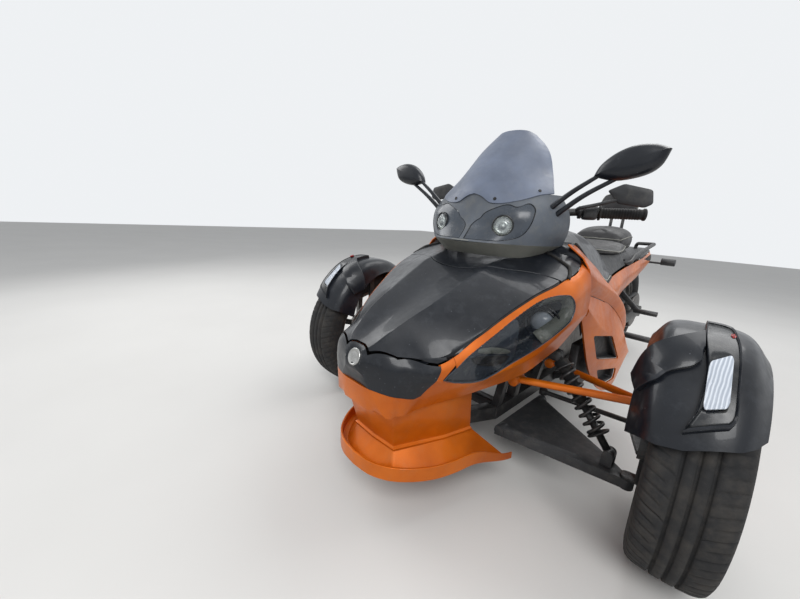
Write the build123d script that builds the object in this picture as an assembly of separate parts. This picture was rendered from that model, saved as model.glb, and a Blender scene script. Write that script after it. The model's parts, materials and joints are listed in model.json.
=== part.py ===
from build123d import *
import math
import os

# A three-wheeled road machine: two steered wheels in front, one driven wheel behind.
# x is to the vehicle's left, y is to the rear, z is up, all in millimetres.
# While it is drawn, y is measured back from the front axle. The last step moves it so
# that the origin lies on the ground at the middle of the overall length.

# Overall sizes
WHEELBASE = 1727
FRONT_TRACK = 1308
STEER_REST = 5.5
GAP = 0.5
SEAM = 0.6
HOOD_GAP = 5
PANEL = 6

# Wheels and tyres
FRONT_TYRE_R = 285
FRONT_TYRE_W = 165
FRONT_RIM_R = 178
REAR_TYRE_R = 303
REAR_TYRE_W = 225
REAR_RIM_R = 190
RIM_WALL = 9
HUB_R = 46
SPOKE_W = 26
SPOKE_T = 16
DISC_R = 130
DISC_T = 6
AXLE_R = 14

# Front suspension and steering
WHEEL_X = FRONT_TRACK / 2
KINGPIN_X = WHEEL_X - 106
UPPER_BALL_Z = 395
LOWER_BALL_Z = 150
UPPER_FRONT_PIVOT = (210, -50, 345)
UPPER_REAR_PIVOT = (210, 230, 330)
LOWER_PIVOT_X = 165
LOWER_FRONT_Y = -60
LOWER_REAR_Y = 240
SHOCK_TOP = (285, 60, 428)
SHOCK_FOOT = (KINGPIN_X - 58, 22, 196)
SPRING_R = 30
SPRING_WIRE = 5
SPRING_TURNS = 7
STEER_ARM = 140
TIE_ROD_Z = 262
TIE_ROD_INNER_X = 232
TIE_ROD_INNER_Z = 246
TIE_ROD_R = 8

# Handlebar
COLUMN_Y = 210
COLUMN_TOP_Z = 872
COLUMN_FOOT_Z = 640
COLUMN_RAKE = 6
BAR_R = 13
COLUMN_R = 16
GRIP_R = 17
GRIP_IN_X = 262
GRIP_OUT_X = 388


def side_name(side):
    return "left" if side > 0 else "right"


def flip(point, side):
    return (point[0] * side, point[1], point[2])


def ngon(points):
    return Face(Wire.make_polygon([Vector(*p) for p in points], close=True))


def hull(faces):
    return Solid.make_loft([f.outer_wire() for f in faces], ruled=True)


def rod(start, end, radius):
    a = Vector(*start)
    b = Vector(*end)
    return Solid.make_cylinder(radius, (b - a).length, Plane(origin=a, z_dir=b - a))


def block(x0, x1, y0, y1, z0, z1):
    return Solid.make_box(x1 - x0, y1 - y0, z1 - z0, Plane(origin=(x0, y0, z0)))


def beam(start, end, width, height, up=(0, 0, 1)):
    a = Vector(*start)
    b = Vector(*end)
    run = b - a
    across = Vector(*up).cross(run).normalized()
    plane = Plane(origin=a, x_dir=across, z_dir=run)
    return extrude(plane * Rectangle(width, height), run.length).solid()


def pipe(points, radius, bend):
    path = FilletPolyline(*points, radius=bend) if len(points) > 2 else Polyline(*points)
    start = Plane(origin=path @ 0, z_dir=path % 0)
    return sweep(start * Circle(radius), path=path).solid()


def merge(solids):
    whole = solids[0]
    for other in solids[1:]:
        whole = whole + other
    return whole


def inset(points, depth):
    """Moves each side of a polygon inwards by depth; points are (x, z) pairs."""
    count = len(points)
    area = sum(points[i][0] * points[(i + 1) % count][1] - points[(i + 1) % count][0] * points[i][1]
               for i in range(count))
    turn = 1 if area > 0 else -1
    moved = []
    for i in range(count):
        (x0, z0), (x1, z1), (x2, z2) = points[i - 1], points[i], points[(i + 1) % count]
        u = Vector(x1 - x0, z1 - z0).normalized()
        v = Vector(x2 - x1, z2 - z1).normalized()
        n = Vector(-u.Y, u.X) * turn
        m = Vector(-v.Y, v.X) * turn
        bisector = (n + m).normalized()
        reach = depth / max(bisector.dot(n), 0.35)
        moved.append((x1 + bisector.X * reach, z1 + bisector.Y * reach))
    return moved


# The front body's half outline at each station: y, then x and z of the valley, the
# ridge, the hood's edge, the lamp's upper edge, the lamp's lower edge and the lower edge
STATIONS = [
    (-556, (0, 488), (14, 489), (26, 483), (30, 474), (30, 456), (26, 442)),
    (-535, (0, 510), (42, 514), (76, 500), (88, 478), (90, 440), (80, 352)),
    (-500, (0, 532), (58, 541), (118, 508), (134, 484), (136, 446), (108, 342)),
    (-440, (0, 565), (75, 577), (166, 494), (176, 474), (178, 452), (124, 345)),
    (-336, (0, 614), (94, 626), (220, 556), (240, 544), (238, 436), (168, 354)),
    (-250, (0, 653), (104, 666), (246, 607), (272, 594), (276, 456), (232, 392)),
    (-165, (0, 690), (112, 704), (272, 651), (304, 634), (308, 480), (276, 420)),
    (-60, (0, 720), (122, 730), (292, 692), (336, 664), (342, 560), (306, 468)),
    (70, (0, 760), (120, 770), (262, 752), (322, 720), (350, 590), (334, 520)),
]
BELLY_Z = 332
LAMP_FRONT_Y = -452
LAMP_REAR_Y = -48
NOSE_FLOOR_Z = 414


def row_at(table, y):
    """The points of a table's row at any y, worked out between its rows."""
    for near, far in zip(table, table[1:]):
        if near[0] <= y <= far[0]:
            share = (y - near[0]) / (far[0] - near[0])
            return [(p[0] + (q[0] - p[0]) * share, p[1] + (q[1] - p[1]) * share)
                    for p, q in zip(near[1:], far[1:])]
    raise ValueError(y)


def station_at(y):
    return row_at(STATIONS, y)


def stations_between(first, last):
    inner = [s[0] for s in STATIONS if first < s[0] < last]
    return [first] + inner + [last]


def shell_strip(first, last, start, stop, side, wall, trim=0):
    """A thick strip of one side's skin between two points of the outline."""
    faces = []
    for y in stations_between(first, last):
        line = station_at(y)
        strip = line[start:stop + 1]
        if trim:
            strip[0] = shorten(strip[0], strip[1], trim)
            strip[-1] = shorten(strip[-1], strip[-2], trim)
        back = thicken(strip, wall)
        ring = strip + back[::-1]
        faces.append(ngon([(x * side, y, z) for x, z in ring]))
    return hull(faces)


def shorten(end, towards, amount):
    run = Vector(towards[0] - end[0], towards[1] - end[1])
    step = run.normalized() * amount
    return (end[0] + step.X, end[1] + step.Y)


def thicken(line, wall):
    """The line moved towards the vehicle's inside by the wall."""
    moved = []
    for i, (x, z) in enumerate(line):
        before = line[max(i - 1, 0)]
        after = line[min(i + 1, len(line) - 1)]
        first = Vector(x - before[0], z - before[1]) if i else Vector(after[0] - x, after[1] - z)
        second = Vector(after[0] - x, after[1] - z) if i < len(line) - 1 else first
        u = first.normalized()
        v = second.normalized()
        n = Vector(u.Y, -u.X)
        m = Vector(v.Y, -v.X)
        bisector = (n + m).normalized()
        reach = wall / bisector.dot(n)
        moved.append((x + bisector.X * reach, z + bisector.Y * reach))
    return moved


def arched_shell(rows, wall):
    """A sheet over both sides; each row is y and half of its line from the middle outwards."""
    faces = []
    for y, line in rows:
        both = [(-x, z) for x, z in line[:0:-1]] + line
        back = thicken(both, wall)
        faces.append(ngon([(x, y, z) for x, z in both + back[::-1]]))
    return hull(faces)


def full_top(first, last, wall, trim):
    """The hood's skin over both sides, from edge to edge."""
    rows = []
    for y in stations_between(first, last):
        line = station_at(y)[0:3]
        line[2] = shorten(line[2], line[1], trim)
        rows.append((y, line))
    return arched_shell(rows, wall)


def nose_hull(grow):
    """The closed front of the body, made smaller all round by grow."""
    faces = []
    for y in stations_between(STATIONS[0][0], SEAM_REAR_Y):
        line = station_at(y)
        floor = min(BELLY_Z, line[5][1] - 6) if y > STATIONS[0][0] else line[5][1] - 4
        half = line + [(line[5][0] * 0.6, floor)]
        both = [(-x, z) for x, z in half[:0:-1]] + half
        if grow:
            both = inset(both, grow)
        depth = grow if y == STATIONS[0][0] else 0
        faces.append(ngon([(x, y + depth, z) for x, z in both]))
    return hull(faces)


# Plan of the seam between the nose panel and the hood, from the middle outwards
SEAM_PLAN = [(0, -538), (60, -520), (120, -480), (166, -436), (196, -396)]
SEAM_REAR_Y = -396
NOSE_CORNER_Y = -470
HOOD_REAR_Y = -62
HOOD_REAR_PLAN = [(0, -170), (90, -164), (150, -128), (200, -90), (240, -72), (310, HOOD_REAR_Y)]


def rear_prism(offset):
    """Everything behind the hood's rear edge, moved back by offset."""
    half = [(x, y + offset) for x, y in HOOD_REAR_PLAN]
    ring = [(-x, y) for x, y in half[:0:-1]] + half + [(half[-1][0], 200), (-half[-1][0], 200)]
    return extrude(Plane.XY * Polygon(*ring, align=None), 900, dir=(0, 0, 1)).solid()


def seam_prism(offset, reach):
    """Everything in front of the seam, moved back by offset."""
    right = [(-x, y + offset) for x, y in SEAM_PLAN[:0:-1]]
    left = [(x, y + offset) for x, y in SEAM_PLAN]
    ring = [(-reach, -700)] + [(-reach, right[0][1])] + right + left + [(reach, left[-1][1]), (reach, -700)]
    return extrude(Plane.XY * Polygon(*ring, align=None), 900, dir=(0, 0, 1)).solid()


def nose_cutter(offset):
    """Above the rim: over the nose panel's lower edge, which rises towards the hood."""
    ring = [(-700, NOSE_FLOOR_Z + offset), (NOSE_CORNER_Y - offset, NOSE_FLOOR_Z + offset),
            (SEAM_REAR_Y - offset + 2, 480 + offset), (SEAM_REAR_Y + 40, 900), (-700, 900)]
    return extrude(Plane.YZ * Polygon(*ring, align=None), 320, both=True).solid()


def make_hood():
    skin = full_top(-545, HOOD_REAR_Y, PANEL, HOOD_GAP)
    return skin - seam_prism(HOOD_GAP, 400) - rear_prism(0)


def make_cowl_neck():
    """The fixed strip behind the hood, under the cowl's chin."""
    skin = full_top(HOOD_REAR_PLAN[0][1] - 10, HOOD_REAR_Y, PANEL, SEAM)
    return skin & rear_prism(HOOD_GAP)


def make_nose():
    skin = nose_hull(0) - nose_hull(PANEL)
    return ((skin & nose_cutter(SEAM / 2)) & seam_prism(0, 400)) - lamp_spaces()


# The orange front: rim round the nose, box under it and the scoop-shaped lip
BOX_TOP = [(96, -492), (150, -330), (166, -240)]
BOX_FOOT = [(80, -466), (136, -318), (160, -214)]
BOX_TOP_Z = 345
BOX_FOOT_Z = 204
LIP_ARC_Y = -350
LIP_ARC_R = 212
LIP_TURN_Y = -300
LIP_TIP = (264, -118)
LIP_FOOT_Z = 146
LIP_EDGE_Z = 188
LIP_TIP_FOOT_Z = 112
LIP_TIP_EDGE_Z = 136


def lip_outline(shrink, count=7):
    """Half of the lip's edge in plan: an arc from the middle, then a line out to the tip."""
    radius = LIP_ARC_R - shrink
    last = math.asin((LIP_TURN_Y - LIP_ARC_Y) / LIP_ARC_R)
    points = []
    for i in range(count):
        angle = -math.pi / 2 + (last + math.pi / 2) * i / (count - 1)
        points.append((radius * math.cos(angle), LIP_ARC_Y + radius * math.sin(angle)))
    points.append((LIP_TIP[0] - shrink, LIP_TIP[1]))
    return points


def make_box():
    def ring(plan, z, wall):
        half = [(x - wall, y + wall) for x, y in plan[:1]] + [(x - wall, y) for x, y in plan[1:]]
        return ngon([(-x, y, z) for x, y in half[::-1]] + [(x, y, z) for x, y in half])
    outer = hull([ring(BOX_FOOT, BOX_FOOT_Z, 0), ring(BOX_TOP, BOX_TOP_Z, 0)])
    inner_foot = [(x, y) for x, y in BOX_FOOT[:-1]] + [(BOX_FOOT[-1][0], BOX_FOOT[-1][1] + 60)]
    inner_top = [(x, y) for x, y in BOX_TOP[:-1]] + [(BOX_TOP[-1][0], BOX_TOP[-1][1] + 60)]
    inner = hull([ring(inner_foot, BOX_FOOT_Z - 30, PANEL), ring(inner_top, BOX_TOP_Z + 30, PANEL)])
    return outer - inner


def box_foot_path(count):
    """Evenly spaced points along the box's foot, from the middle to its rear end."""
    corners = [(0, BOX_FOOT[0][1])] + BOX_FOOT
    lengths = [math.dist(a, b) for a, b in zip(corners, corners[1:])]
    points = []
    for i in range(count):
        left = sum(lengths) * i / (count - 1)
        for a, b, length in zip(corners, corners[1:], lengths):
            if left <= length + 1e-6:
                share = left / length
                points.append((a[0] + (b[0] - a[0]) * share, a[1] + (b[1] - a[1]) * share))
                break
            left -= length
    return points


def make_lip():
    """A thin dish whose outer wall stands up, as one loft for each side."""
    edge = lip_outline(0)
    foot_line = box_foot_path(len(edge))
    solids = []
    for side in (1, -1):
        faces = []
        for i, ((ex, ey), (bx, by)) in enumerate(zip(edge, foot_line)):
            share = min(1.0, max(0.0, (i - 4) / 3))
            foot = LIP_FOOT_Z + (LIP_TIP_FOOT_Z - LIP_FOOT_Z) * share
            top = LIP_EDGE_Z + (LIP_TIP_EDGE_Z - LIP_EDGE_Z) * share
            step = PANEL / math.dist((ex, ey), (bx, by))
            wx, wy = ex + (bx - ex) * step, ey + (by - ey) * step
            faces.append(ngon([(ex * side, ey, foot), (ex * side, ey, top), (wx * side, wy, top),
                               (wx * side, wy, foot + PANEL), (bx * side, by, BOX_FOOT_Z + PANEL),
                               (bx * side, by, BOX_FOOT_Z)]))
        solids.append(hull(faces))
    return merge(solids)


def make_front_bumper():
    skin = nose_hull(0) - nose_hull(PANEL)
    rim = skin - nose_cutter(-SEAM / 2)
    return merge([rim - lamp_spaces(), make_box(), make_lip()])


# Headlamps, set into the side skin between the lamp edges of the outline
LAMP_DEPTH = 60


def lamp_prism(side, depth, reach, shrink):
    """The lamp's space: from reach in front of the skin to depth behind it."""
    faces = []
    for y in stations_between(LAMP_FRONT_Y + shrink, LAMP_REAR_Y - shrink):
        line = station_at(y)[3:5]
        pair = [shorten(line[0], line[1], shrink), shorten(line[1], line[0], shrink)]
        front = thicken(pair, reach)
        back = thicken(pair, depth)
        faces.append(ngon([(x * side, y, z) for x, z in front + back[::-1]]))
    return hull(faces)


def lamp_spaces():
    return merge([lamp_prism(side, LAMP_DEPTH, -20, 0) for side in (1, -1)])


def make_headlamp(side):
    return lamp_prism(side, LAMP_DEPTH - 10, 2, SEAM / 2)


def make_side_fairing(side):
    strip = shell_strip(SEAM_REAR_Y + GAP, FAIRING_REAR_Y, 2, 5, side, PANEL)
    return strip - lamp_prism(side, LAMP_DEPTH, -20, 0)


# Front trunk: an open tub under the hood
TUB_WALL = 5
TUB_FRONT_Y = -455
TUB_REAR_Y = -120
TUB_FLOOR_Z = 352
TUB_TALL_Z = 790
TUB_SECTIONS = [(TUB_FRONT_Y, 84), (-336, 146), (-230, 168), (TUB_REAR_Y, 180)]
SEAL = 0.3


def make_trunk_tub():
    def rings(wall, grow):
        faces = []
        for i, (y, half) in enumerate(TUB_SECTIONS):
            shift = wall if i == 0 else (-wall if i == len(TUB_SECTIONS) - 1 else 0)
            z0 = TUB_FLOOR_Z + wall
            low = 0.82 * half - wall
            high = half - wall
            faces.append(ngon([(-low, y + shift, z0), (low, y + shift, z0),
                               (high, y + shift, TUB_TALL_Z + grow), (-high, y + shift, TUB_TALL_Z + grow)]))
        return hull(faces)
    above = []
    for y in stations_between(TUB_FRONT_Y - 20, TUB_REAR_Y + 20):
        line = station_at(y)[0:3]
        both = [(-x, z) for x, z in line[:0:-1]] + line
        under = thicken(both, PANEL + SEAL)
        above.append(ngon([(x, y, z) for x, z in under] + [(400, y, 950), (-400, y, 950)]))
    return rings(0, 0) - rings(TUB_WALL, 60) - hull(above)


# Cowl: the fixed head with its two lamps, lofted upwards through outlines in plan
COWL_WALL = 5
COWL_PLANS = [
    (731, [(0, -88), (95, -76), (150, -30), (172, 40), (170, 95)]),
    (775, [(0, -148), (80, -140), (160, -84), (214, -6), (226, 95)]),
    (822, [(0, -112), (90, -112), (180, -74), (232, 6), (240, 90)]),
    (872, [(0, -100), (90, -98), (178, -66), (228, 10), (238, 84)]),
    (928, [(0, -92), (90, -72), (160, -26), (204, 26), (214, 60)]),
]
LAMP_EYE = (108, -96, 824)
LAMP_EYE_R = 36
LAMP_EYE_DEPTH = 44
LAMP_EYE_TURN = 14


def plan_ring(z, half, wall):
    line = [(y, x) for x, y in half]
    moved = thicken(line, wall) if wall else line
    pts = [(x, y) for y, x in moved]
    if wall:
        pts[0] = (0, pts[0][1])
    return ngon([(-x, y, z) for x, y in pts[:0:-1]] + [(x, y, z) for x, y in pts])


def eye_axis(side):
    turn = math.radians(LAMP_EYE_TURN)
    return Vector(math.sin(turn) * side, -math.cos(turn), 0)


def cowl_inside():
    inner = []
    for i, (z, half) in enumerate(COWL_PLANS):
        lift = -COWL_WALL if i == 0 else (COWL_WALL if i == len(COWL_PLANS) - 1 else 0)
        longer = half[:-1] + [(half[-1][0], half[-1][1] + 2 * COWL_WALL)]
        inner.append(plan_ring(z + lift, longer, COWL_WALL))
    return hull(inner)


def cowl_outside():
    return hull([plan_ring(z, half, 0) for z, half in COWL_PLANS])


def make_cowl():
    shell = cowl_outside() - cowl_inside()
    for side in (1, -1):
        centre = Vector(*flip(LAMP_EYE, side))
        front = centre + eye_axis(side) * 60
        shell = shell - rod(tuple(front), tuple(centre - eye_axis(side) * 30), LAMP_EYE_R + GAP)
    return shell


def make_cowl_lamps():
    eyes = []
    for side in (1, -1):
        centre = Vector(*flip(LAMP_EYE, side))
        start = centre + eye_axis(side) * 4
        end = centre - eye_axis(side) * LAMP_EYE_DEPTH
        eyes.append(rod(tuple(start), tuple(end), LAMP_EYE_R))
    return Compound(eyes)


# Windscreen: a sheet bent round the cowl's top
SCREEN_WALL = 4
SCREEN_PLANS = [
    (928.5, [(0, -92), (90, -72), (160, -26), (204, 26)]),
    (1000, [(0, -40), (80, -20), (136, 40), (158, 96)]),
    (1080, [(0, 30), (62, 48), (104, 84), (118, 118)]),
    (1145, [(0, 92), (26, 96), (44, 106), (50, 120)]),
]


def make_windscreen():
    faces = []
    for z, half in SCREEN_PLANS:
        line = [(y, x) for x, y in half]
        back = thicken(line, SCREEN_WALL)
        outer = [(x, y) for y, x in line]
        inner = [(x, y) for y, x in back]
        inner[0] = (0, inner[0][1])
        ring = [(-x, y) for x, y in outer[:0:-1]] + outer
        under = inner[::-1] + [(-x, y) for x, y in inner[1:]]
        faces.append(ngon([(x, y, z) for x, y in ring + under]))
    return hull(faces)


# Mirrors: a leaf-shaped head on two slim rails
MIRROR_OUTLINE = [(313, 974), (327, 1004), (360, 1034), (398, 1049), (440, 1047), (474, 1035),
                  (457, 993), (427, 974), (367, 963)]
MIRROR_FRONT_Y = -18
MIRROR_DEPTH = 34
MIRROR_RAILS = [((205, 2, 884), (325, 2, 976)), ((222, 14, 868), (372, 6, 970))]


def make_mirrors():
    heads = []
    for side in (1, -1):
        plate = Polygon(*[(x * side, z) for x, z in MIRROR_OUTLINE], align=None)
        front = Plane(origin=(0, MIRROR_FRONT_Y, 0), x_dir=(1, 0, 0), z_dir=(0, -1, 0))
        head = extrude(front * plate, MIRROR_DEPTH, dir=(0, 1, 0)).solid()
        rails = [beam(flip(a, side), flip(b, side), 15, 12) for a, b in MIRROR_RAILS]
        heads.append(merge([head] + rails) - cowl_outside())
    return heads


# Side panels with their two vents, and the radiators behind them
FAIRING_REAR_Y = 70
SIDE_STATIONS = [
    (82, (304, 640), (336, 600), (330, 556)),
    (240, (318, 602), (356, 500), (338, 340)),
    (400, (332, 550), (372, 440), (350, 216)),
    (560, (344, 454), (380, 360), (356, 202)),
    (700, (338, 334), (362, 312), (350, 284)),
]
VENTS = [[(186, 486), (336, 462), (480, 338), (268, 380)],
         [(300, 330), (498, 292), (528, 232), (372, 240)]]


def side_shell(table, side, wall):
    """A sheet on one side; each row is y and the points of its line from the top down."""
    faces = []
    for y, *line in table:
        back = thicken(line, wall)
        faces.append(ngon([(x * side, y, z) for x, z in line + back[::-1]]))
    return hull(faces)


def make_side_panel(side):
    panel = side_shell(SIDE_STATIONS, side, PANEL)
    for vent in VENTS:
        window = extrude(Plane.YZ * Polygon(*vent, align=None), 200 * side, dir=(1, 0, 0)).solid()
        panel = panel - window.moved(Location((250 * side, 0, 0)))
    return panel


# Shoulder panels: from the fairings back over the side panels to the tail. Each row is y
# and the points from the top down, without the edge that lies on the side panel
SHOULDER_ROWS = [
    (FAIRING_REAR_Y + SEAM, (254, 786), (306, 750), (332, 706)),
    (160, (248, 776), (304, 728), (336, 660)),
    (240, (250, 741), (304, 700), (338, 640)),
    (400, (241, 672), (293, 640), (345, 590)),
    (560, (240, 623), (282, 582), (348, 500)),
    (608, (240, 607), (278, 566), (344, 462)),
]
SHOULDER_SEAM = 1.4
SHOULDER_STATIONS = []
for y, *line in SHOULDER_ROWS:
    x, z = row_at(SIDE_STATIONS, max(y, SIDE_STATIONS[0][0]))[0]
    SHOULDER_STATIONS.append((y, *line, (x, z + SHOULDER_SEAM)))

RADIATOR_X = 300
RADIATOR_T = 28
RADIATOR_Y = (215, 500)
RADIATOR_Z = (250, 430)


def make_radiators():
    cores = []
    for side in (1, -1):
        xs = sorted((RADIATOR_X * side, (RADIATOR_X - RADIATOR_T) * side))
        core = block(xs[0], xs[1], *RADIATOR_Y, *RADIATOR_Z)
        root = SPAR_X + SPAR_W / 2 + SEAL
        outline = [(root, SPAR_Z - 14), (root, SPAR_Z + 18), (RADIATOR_X - RADIATOR_T + 4, 300),
                   (RADIATOR_X - RADIATOR_T + 4, 262)]
        plane = Plane(origin=(0, RADIATOR_Y[0] + 200, 0), x_dir=(1, 0, 0), z_dir=(0, -1, 0))
        shape = Polygon(*[(x * side, z) for x, z in outline], align=None)
        arm = extrude(plane * shape, 24, dir=(0, -1, 0)).solid()
        cores.append(merge([core, arm]))
    return cores


# Frame: lower spars, posts for the arms and shocks, upper rails and the steering head
SPAR_X = 150
SPAR_W = 36
SPAR_H = 44
SPAR_Z = 205
SPAR_FRONT_Y = -70
SPAR_REAR_Y = 1190
HORN_PATH = [(52, -459.7, 240), (104, -200, 215), (SPAR_X, SPAR_FRONT_Y + 10, SPAR_Z)]
SPAR_PATH = [(SPAR_X, SPAR_FRONT_Y, SPAR_Z), (SPAR_X, SPAR_REAR_Y, SPAR_Z)]
TUB_POST_X = 66
TUB_POST_Y = -330
STAY_X = 150
STAY_TOP_Z = 880
RAIL_W = 30
RAIL_H = 36
RAIL_PATH = [(176, 60, 455), (168, 230, 520), (150, 480, 618), (128, 800, 655),
             (112, WHEELBASE - 227, 672), (96, WHEELBASE + 233, 680)]
HEAD_R = 26
REAR_POST_X = 104
REAR_POST_Y = 1160
CROSS_YS = (-20, 340, REAR_POST_Y)
REAR_CROSS_Y = 1130
TAIL_CROSS_Y = RAIL_PATH[-1][1] - 20
POST_W = 24
POST_DEPTH = 34
LUG_W = 28


def make_front_frame():
    """The two horns ahead of the spars, with the posts and beam that carry the tub."""
    members = [block(-90, 90, TUB_POST_Y - LUG_W / 2, TUB_POST_Y + LUG_W / 2, 212, 244)]
    for side in (1, -1):
        path = [flip(p, side) for p in HORN_PATH]
        for a, b in zip(path, path[1:]):
            members.append(beam(a, b, SPAR_W, SPAR_H))
        members.append(block(*sorted(((TUB_POST_X - LUG_W / 2) * side, (TUB_POST_X + LUG_W / 2) * side)),
                             TUB_POST_Y - LUG_W / 2, TUB_POST_Y + LUG_W / 2, 215, TUB_FLOOR_Z))
    behind = block(-400, 400, SPAR_FRONT_Y - SEAL, SPAR_FRONT_Y + 100, 0, 400)
    return merge(members) - behind


def make_frame():
    members = []
    for side in (1, -1):
        for corners, width, height in ((SPAR_PATH, SPAR_W, SPAR_H), (RAIL_PATH, RAIL_W, RAIL_H)):
            path = [flip(p, side) for p in corners]
            for a, b in zip(path, path[1:]):
                members.append(beam(a, b, width, height))
        tower_z = UPPER_FRONT_PIVOT[2] + 125
        stay_y = SHOCK_TOP[1]
        members.append(beam((STAY_X * side, stay_y, tower_z), (STAY_X * side, stay_y, STAY_TOP_Z),
                            POST_W, POST_W, (0, 1, 0)))
        for x, y, z in (UPPER_FRONT_PIVOT, UPPER_REAR_PIVOT):
            head = ((x - 36) * side, y, z + 14)
            members.append(beam((SPAR_X * side, y, SPAR_Z), head, POST_W, 30, (0, 1, 0)))
        rail_x = RAIL_PATH[0][0]
        members.append(beam((SPAR_X * side, stay_y, SPAR_Z), (rail_x * side, stay_y, tower_z),
                            30, POST_DEPTH, (0, 1, 0)))
        post_top = rail_at(REAR_POST_Y)[1] - RAIL_H / 4
        post_foot = (REAR_POST_X * side, REAR_POST_Y, SPAR_Z)
        members.append(beam(post_foot, (*post_foot[:2], post_top), POST_W, POST_DEPTH, (0, 1, 0)))
        members += ear_pair(flip(SHOCK_TOP, side), ((rail_x - 6) * side, stay_y, tower_z - 30), (0, 1, 0))
    for y in CROSS_YS:
        members.append(block(-SPAR_X, SPAR_X, y - 18, y + 18, SPAR_Z - 16, SPAR_Z + 16))
    head_y = column_y(COLUMN_FOOT_Z)
    members.append(block(-170, 170, head_y - 16, head_y + 16, 500, 530))
    for y in (REAR_CROSS_Y, TAIL_CROSS_Y):
        x, z = rail_at(y)
        members.append(block(-x, x, y - 16, y + 16, z - 15, z + 15))
    x, z = rail_at(TAIL_CROSS_Y)
    for side in (1, -1):
        xs = sorted(((x - 26 - POST_W) * side, (x - 26) * side))
        members.append(block(*xs, TAIL_CROSS_Y - 12, TAIL_CROSS_Y + 12, z, DECK_Z - DECK_WALL - SEAL))
    members += ear_pair(REAR_SHOCK_TOP, (0, REAR_CROSS_Y, 662), (1, 0, 0))
    members.append(rod(column_point(500), column_point(COLUMN_FOOT_Z - 4), HEAD_R))
    bore = rod(column_point(480), column_point(COLUMN_FOOT_Z), COLUMN_R + GAP)
    pivot = rod((-SWING_X, *SWING_PIVOT), (SWING_X, *SWING_PIVOT), SWING_PIVOT_R + GAP)
    return merge(members) - bore - pivot


def rail_at(y):
    """x and z of the upper rail's middle at any y."""
    for (x0, y0, z0), (x1, y1, z1) in zip(RAIL_PATH, RAIL_PATH[1:]):
        if y0 <= y <= y1:
            share = (y - y0) / (y1 - y0)
            return (x0 + (x1 - x0) * share, z0 + (z1 - z0) * share)
    raise ValueError(y)


def column_y(z):
    return COLUMN_Y + (z - COLUMN_TOP_Z) * math.tan(math.radians(COLUMN_RAKE))


def column_point(z):
    return (0, column_y(z), z)


# Engine: one plain block with its output shaft for the belt
ENGINE_X = 124
ENGINE_Y = (420, 1080)
ENGINE_Z = (160, 560)
ENGINE_FEET = (540, 900)
BELT_X = (128, 154)
FRONT_PULLEY = (1040, 330)
FRONT_PULLEY_R = 42
REAR_PULLEY_R = 112
BELT_T = 7


def make_engine():
    core = block(-ENGINE_X, ENGINE_X, ENGINE_Y[0], ENGINE_Y[1], SPAR_Z + SPAR_H / 2 + 4, ENGINE_Z[1])
    sump = block(-ENGINE_X, ENGINE_X, ENGINE_Y[0] + 60, ENGINE_Y[1] - 120, ENGINE_Z[0], SPAR_Z + SPAR_H)
    pulley = rod((ENGINE_X - 10, *FRONT_PULLEY), (BELT_X[1] + 4, *FRONT_PULLEY), FRONT_PULLEY_R)
    feet = []
    for y in ENGINE_FEET:
        feet.append(block(-(SPAR_X - SPAR_W / 2 - SEAL), SPAR_X - SPAR_W / 2 - SEAL, y - 20, y + 20,
                          SPAR_Z - 12, SPAR_Z + 12))
    return merge([core, sump, pulley] + feet)


def belt_loop(grow, x0, x1):
    """A slab whose outline is two circles and the straight runs that touch both."""
    y0, z0 = FRONT_PULLEY
    y1, z1 = WHEELBASE, REAR_TYRE_R
    r0 = FRONT_PULLEY_R + grow
    r1 = REAR_PULLEY_R + grow
    run = Vector(y1 - y0, z1 - z0)
    lean = math.asin((r0 - r1) / run.length)
    along = run.normalized()
    corners = []
    for turn in (1, -1):
        normal = Vector(along.X * math.sin(lean) - turn * along.Y * math.cos(lean),
                        along.Y * math.sin(lean) + turn * along.X * math.cos(lean))
        corners.append([(y0 + normal.X * r0, z0 + normal.Y * r0), (y1 + normal.X * r1, z1 + normal.Y * r1)])
    quad = [corners[0][0], corners[0][1], corners[1][1], corners[1][0]]
    plane = Plane(origin=(x0, 0, 0), x_dir=(0, 1, 0), z_dir=(1, 0, 0))
    middle = extrude(plane * Polygon(*quad, align=None), x1 - x0, dir=(1, 0, 0)).solid()
    return merge([middle, rod((x0, y0, z0), (x1, y0, z0), r0), rod((x0, y1, z1), (x1, y1, z1), r1)])


def make_drive_belt():
    return belt_loop(GAP + BELT_T, *BELT_X) - belt_loop(GAP, BELT_X[0] - 5, BELT_X[1] + 5)


# Rear end
SWING_X = 178
SWING_W = 26
SWING_H = 52
SWING_PIVOT = (1150, 300)
SWING_PIVOT_R = 24
SWING_CROSS = (1236, 300)
SWING_CROSS_R = 18


def make_swing_arm():
    members = [rod((-SWING_X, *SWING_PIVOT), (SWING_X, *SWING_PIVOT), SWING_PIVOT_R)]
    for side in (1, -1):
        members.append(beam((SWING_X * side, *SWING_PIVOT), (SWING_X * side, WHEELBASE, REAR_TYRE_R),
                            SWING_W, SWING_H))
        members.append(rod(((SWING_X - SWING_W / 2) * side, WHEELBASE, REAR_TYRE_R),
                           ((SWING_X + SWING_W / 2) * side, WHEELBASE, REAR_TYRE_R), 36))
    members.append(rod((-SWING_X, *SWING_CROSS), (SWING_X, *SWING_CROSS), SWING_CROSS_R))
    members += ear_pair(REAR_SHOCK_FOOT, (0, *SWING_CROSS), (1, 0, 0))
    members.append(rod((-SWING_X, WHEELBASE, REAR_TYRE_R), (SWING_X, WHEELBASE, REAR_TYRE_R), AXLE_R))
    return merge(members)


# Shocks: a rod and body between two eyes, with the spring as a stack of rings
REAR_SHOCK_FOOT = (0, 1222, 346)
REAR_SHOCK_TOP = (0, 1134, 626)
SHOCK_EYE_R = 15
SHOCK_EYE_W = 26
SHOCK_ROD_R = 11
SHOCK_BODY_R = 20
EAR_T = 7


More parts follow.
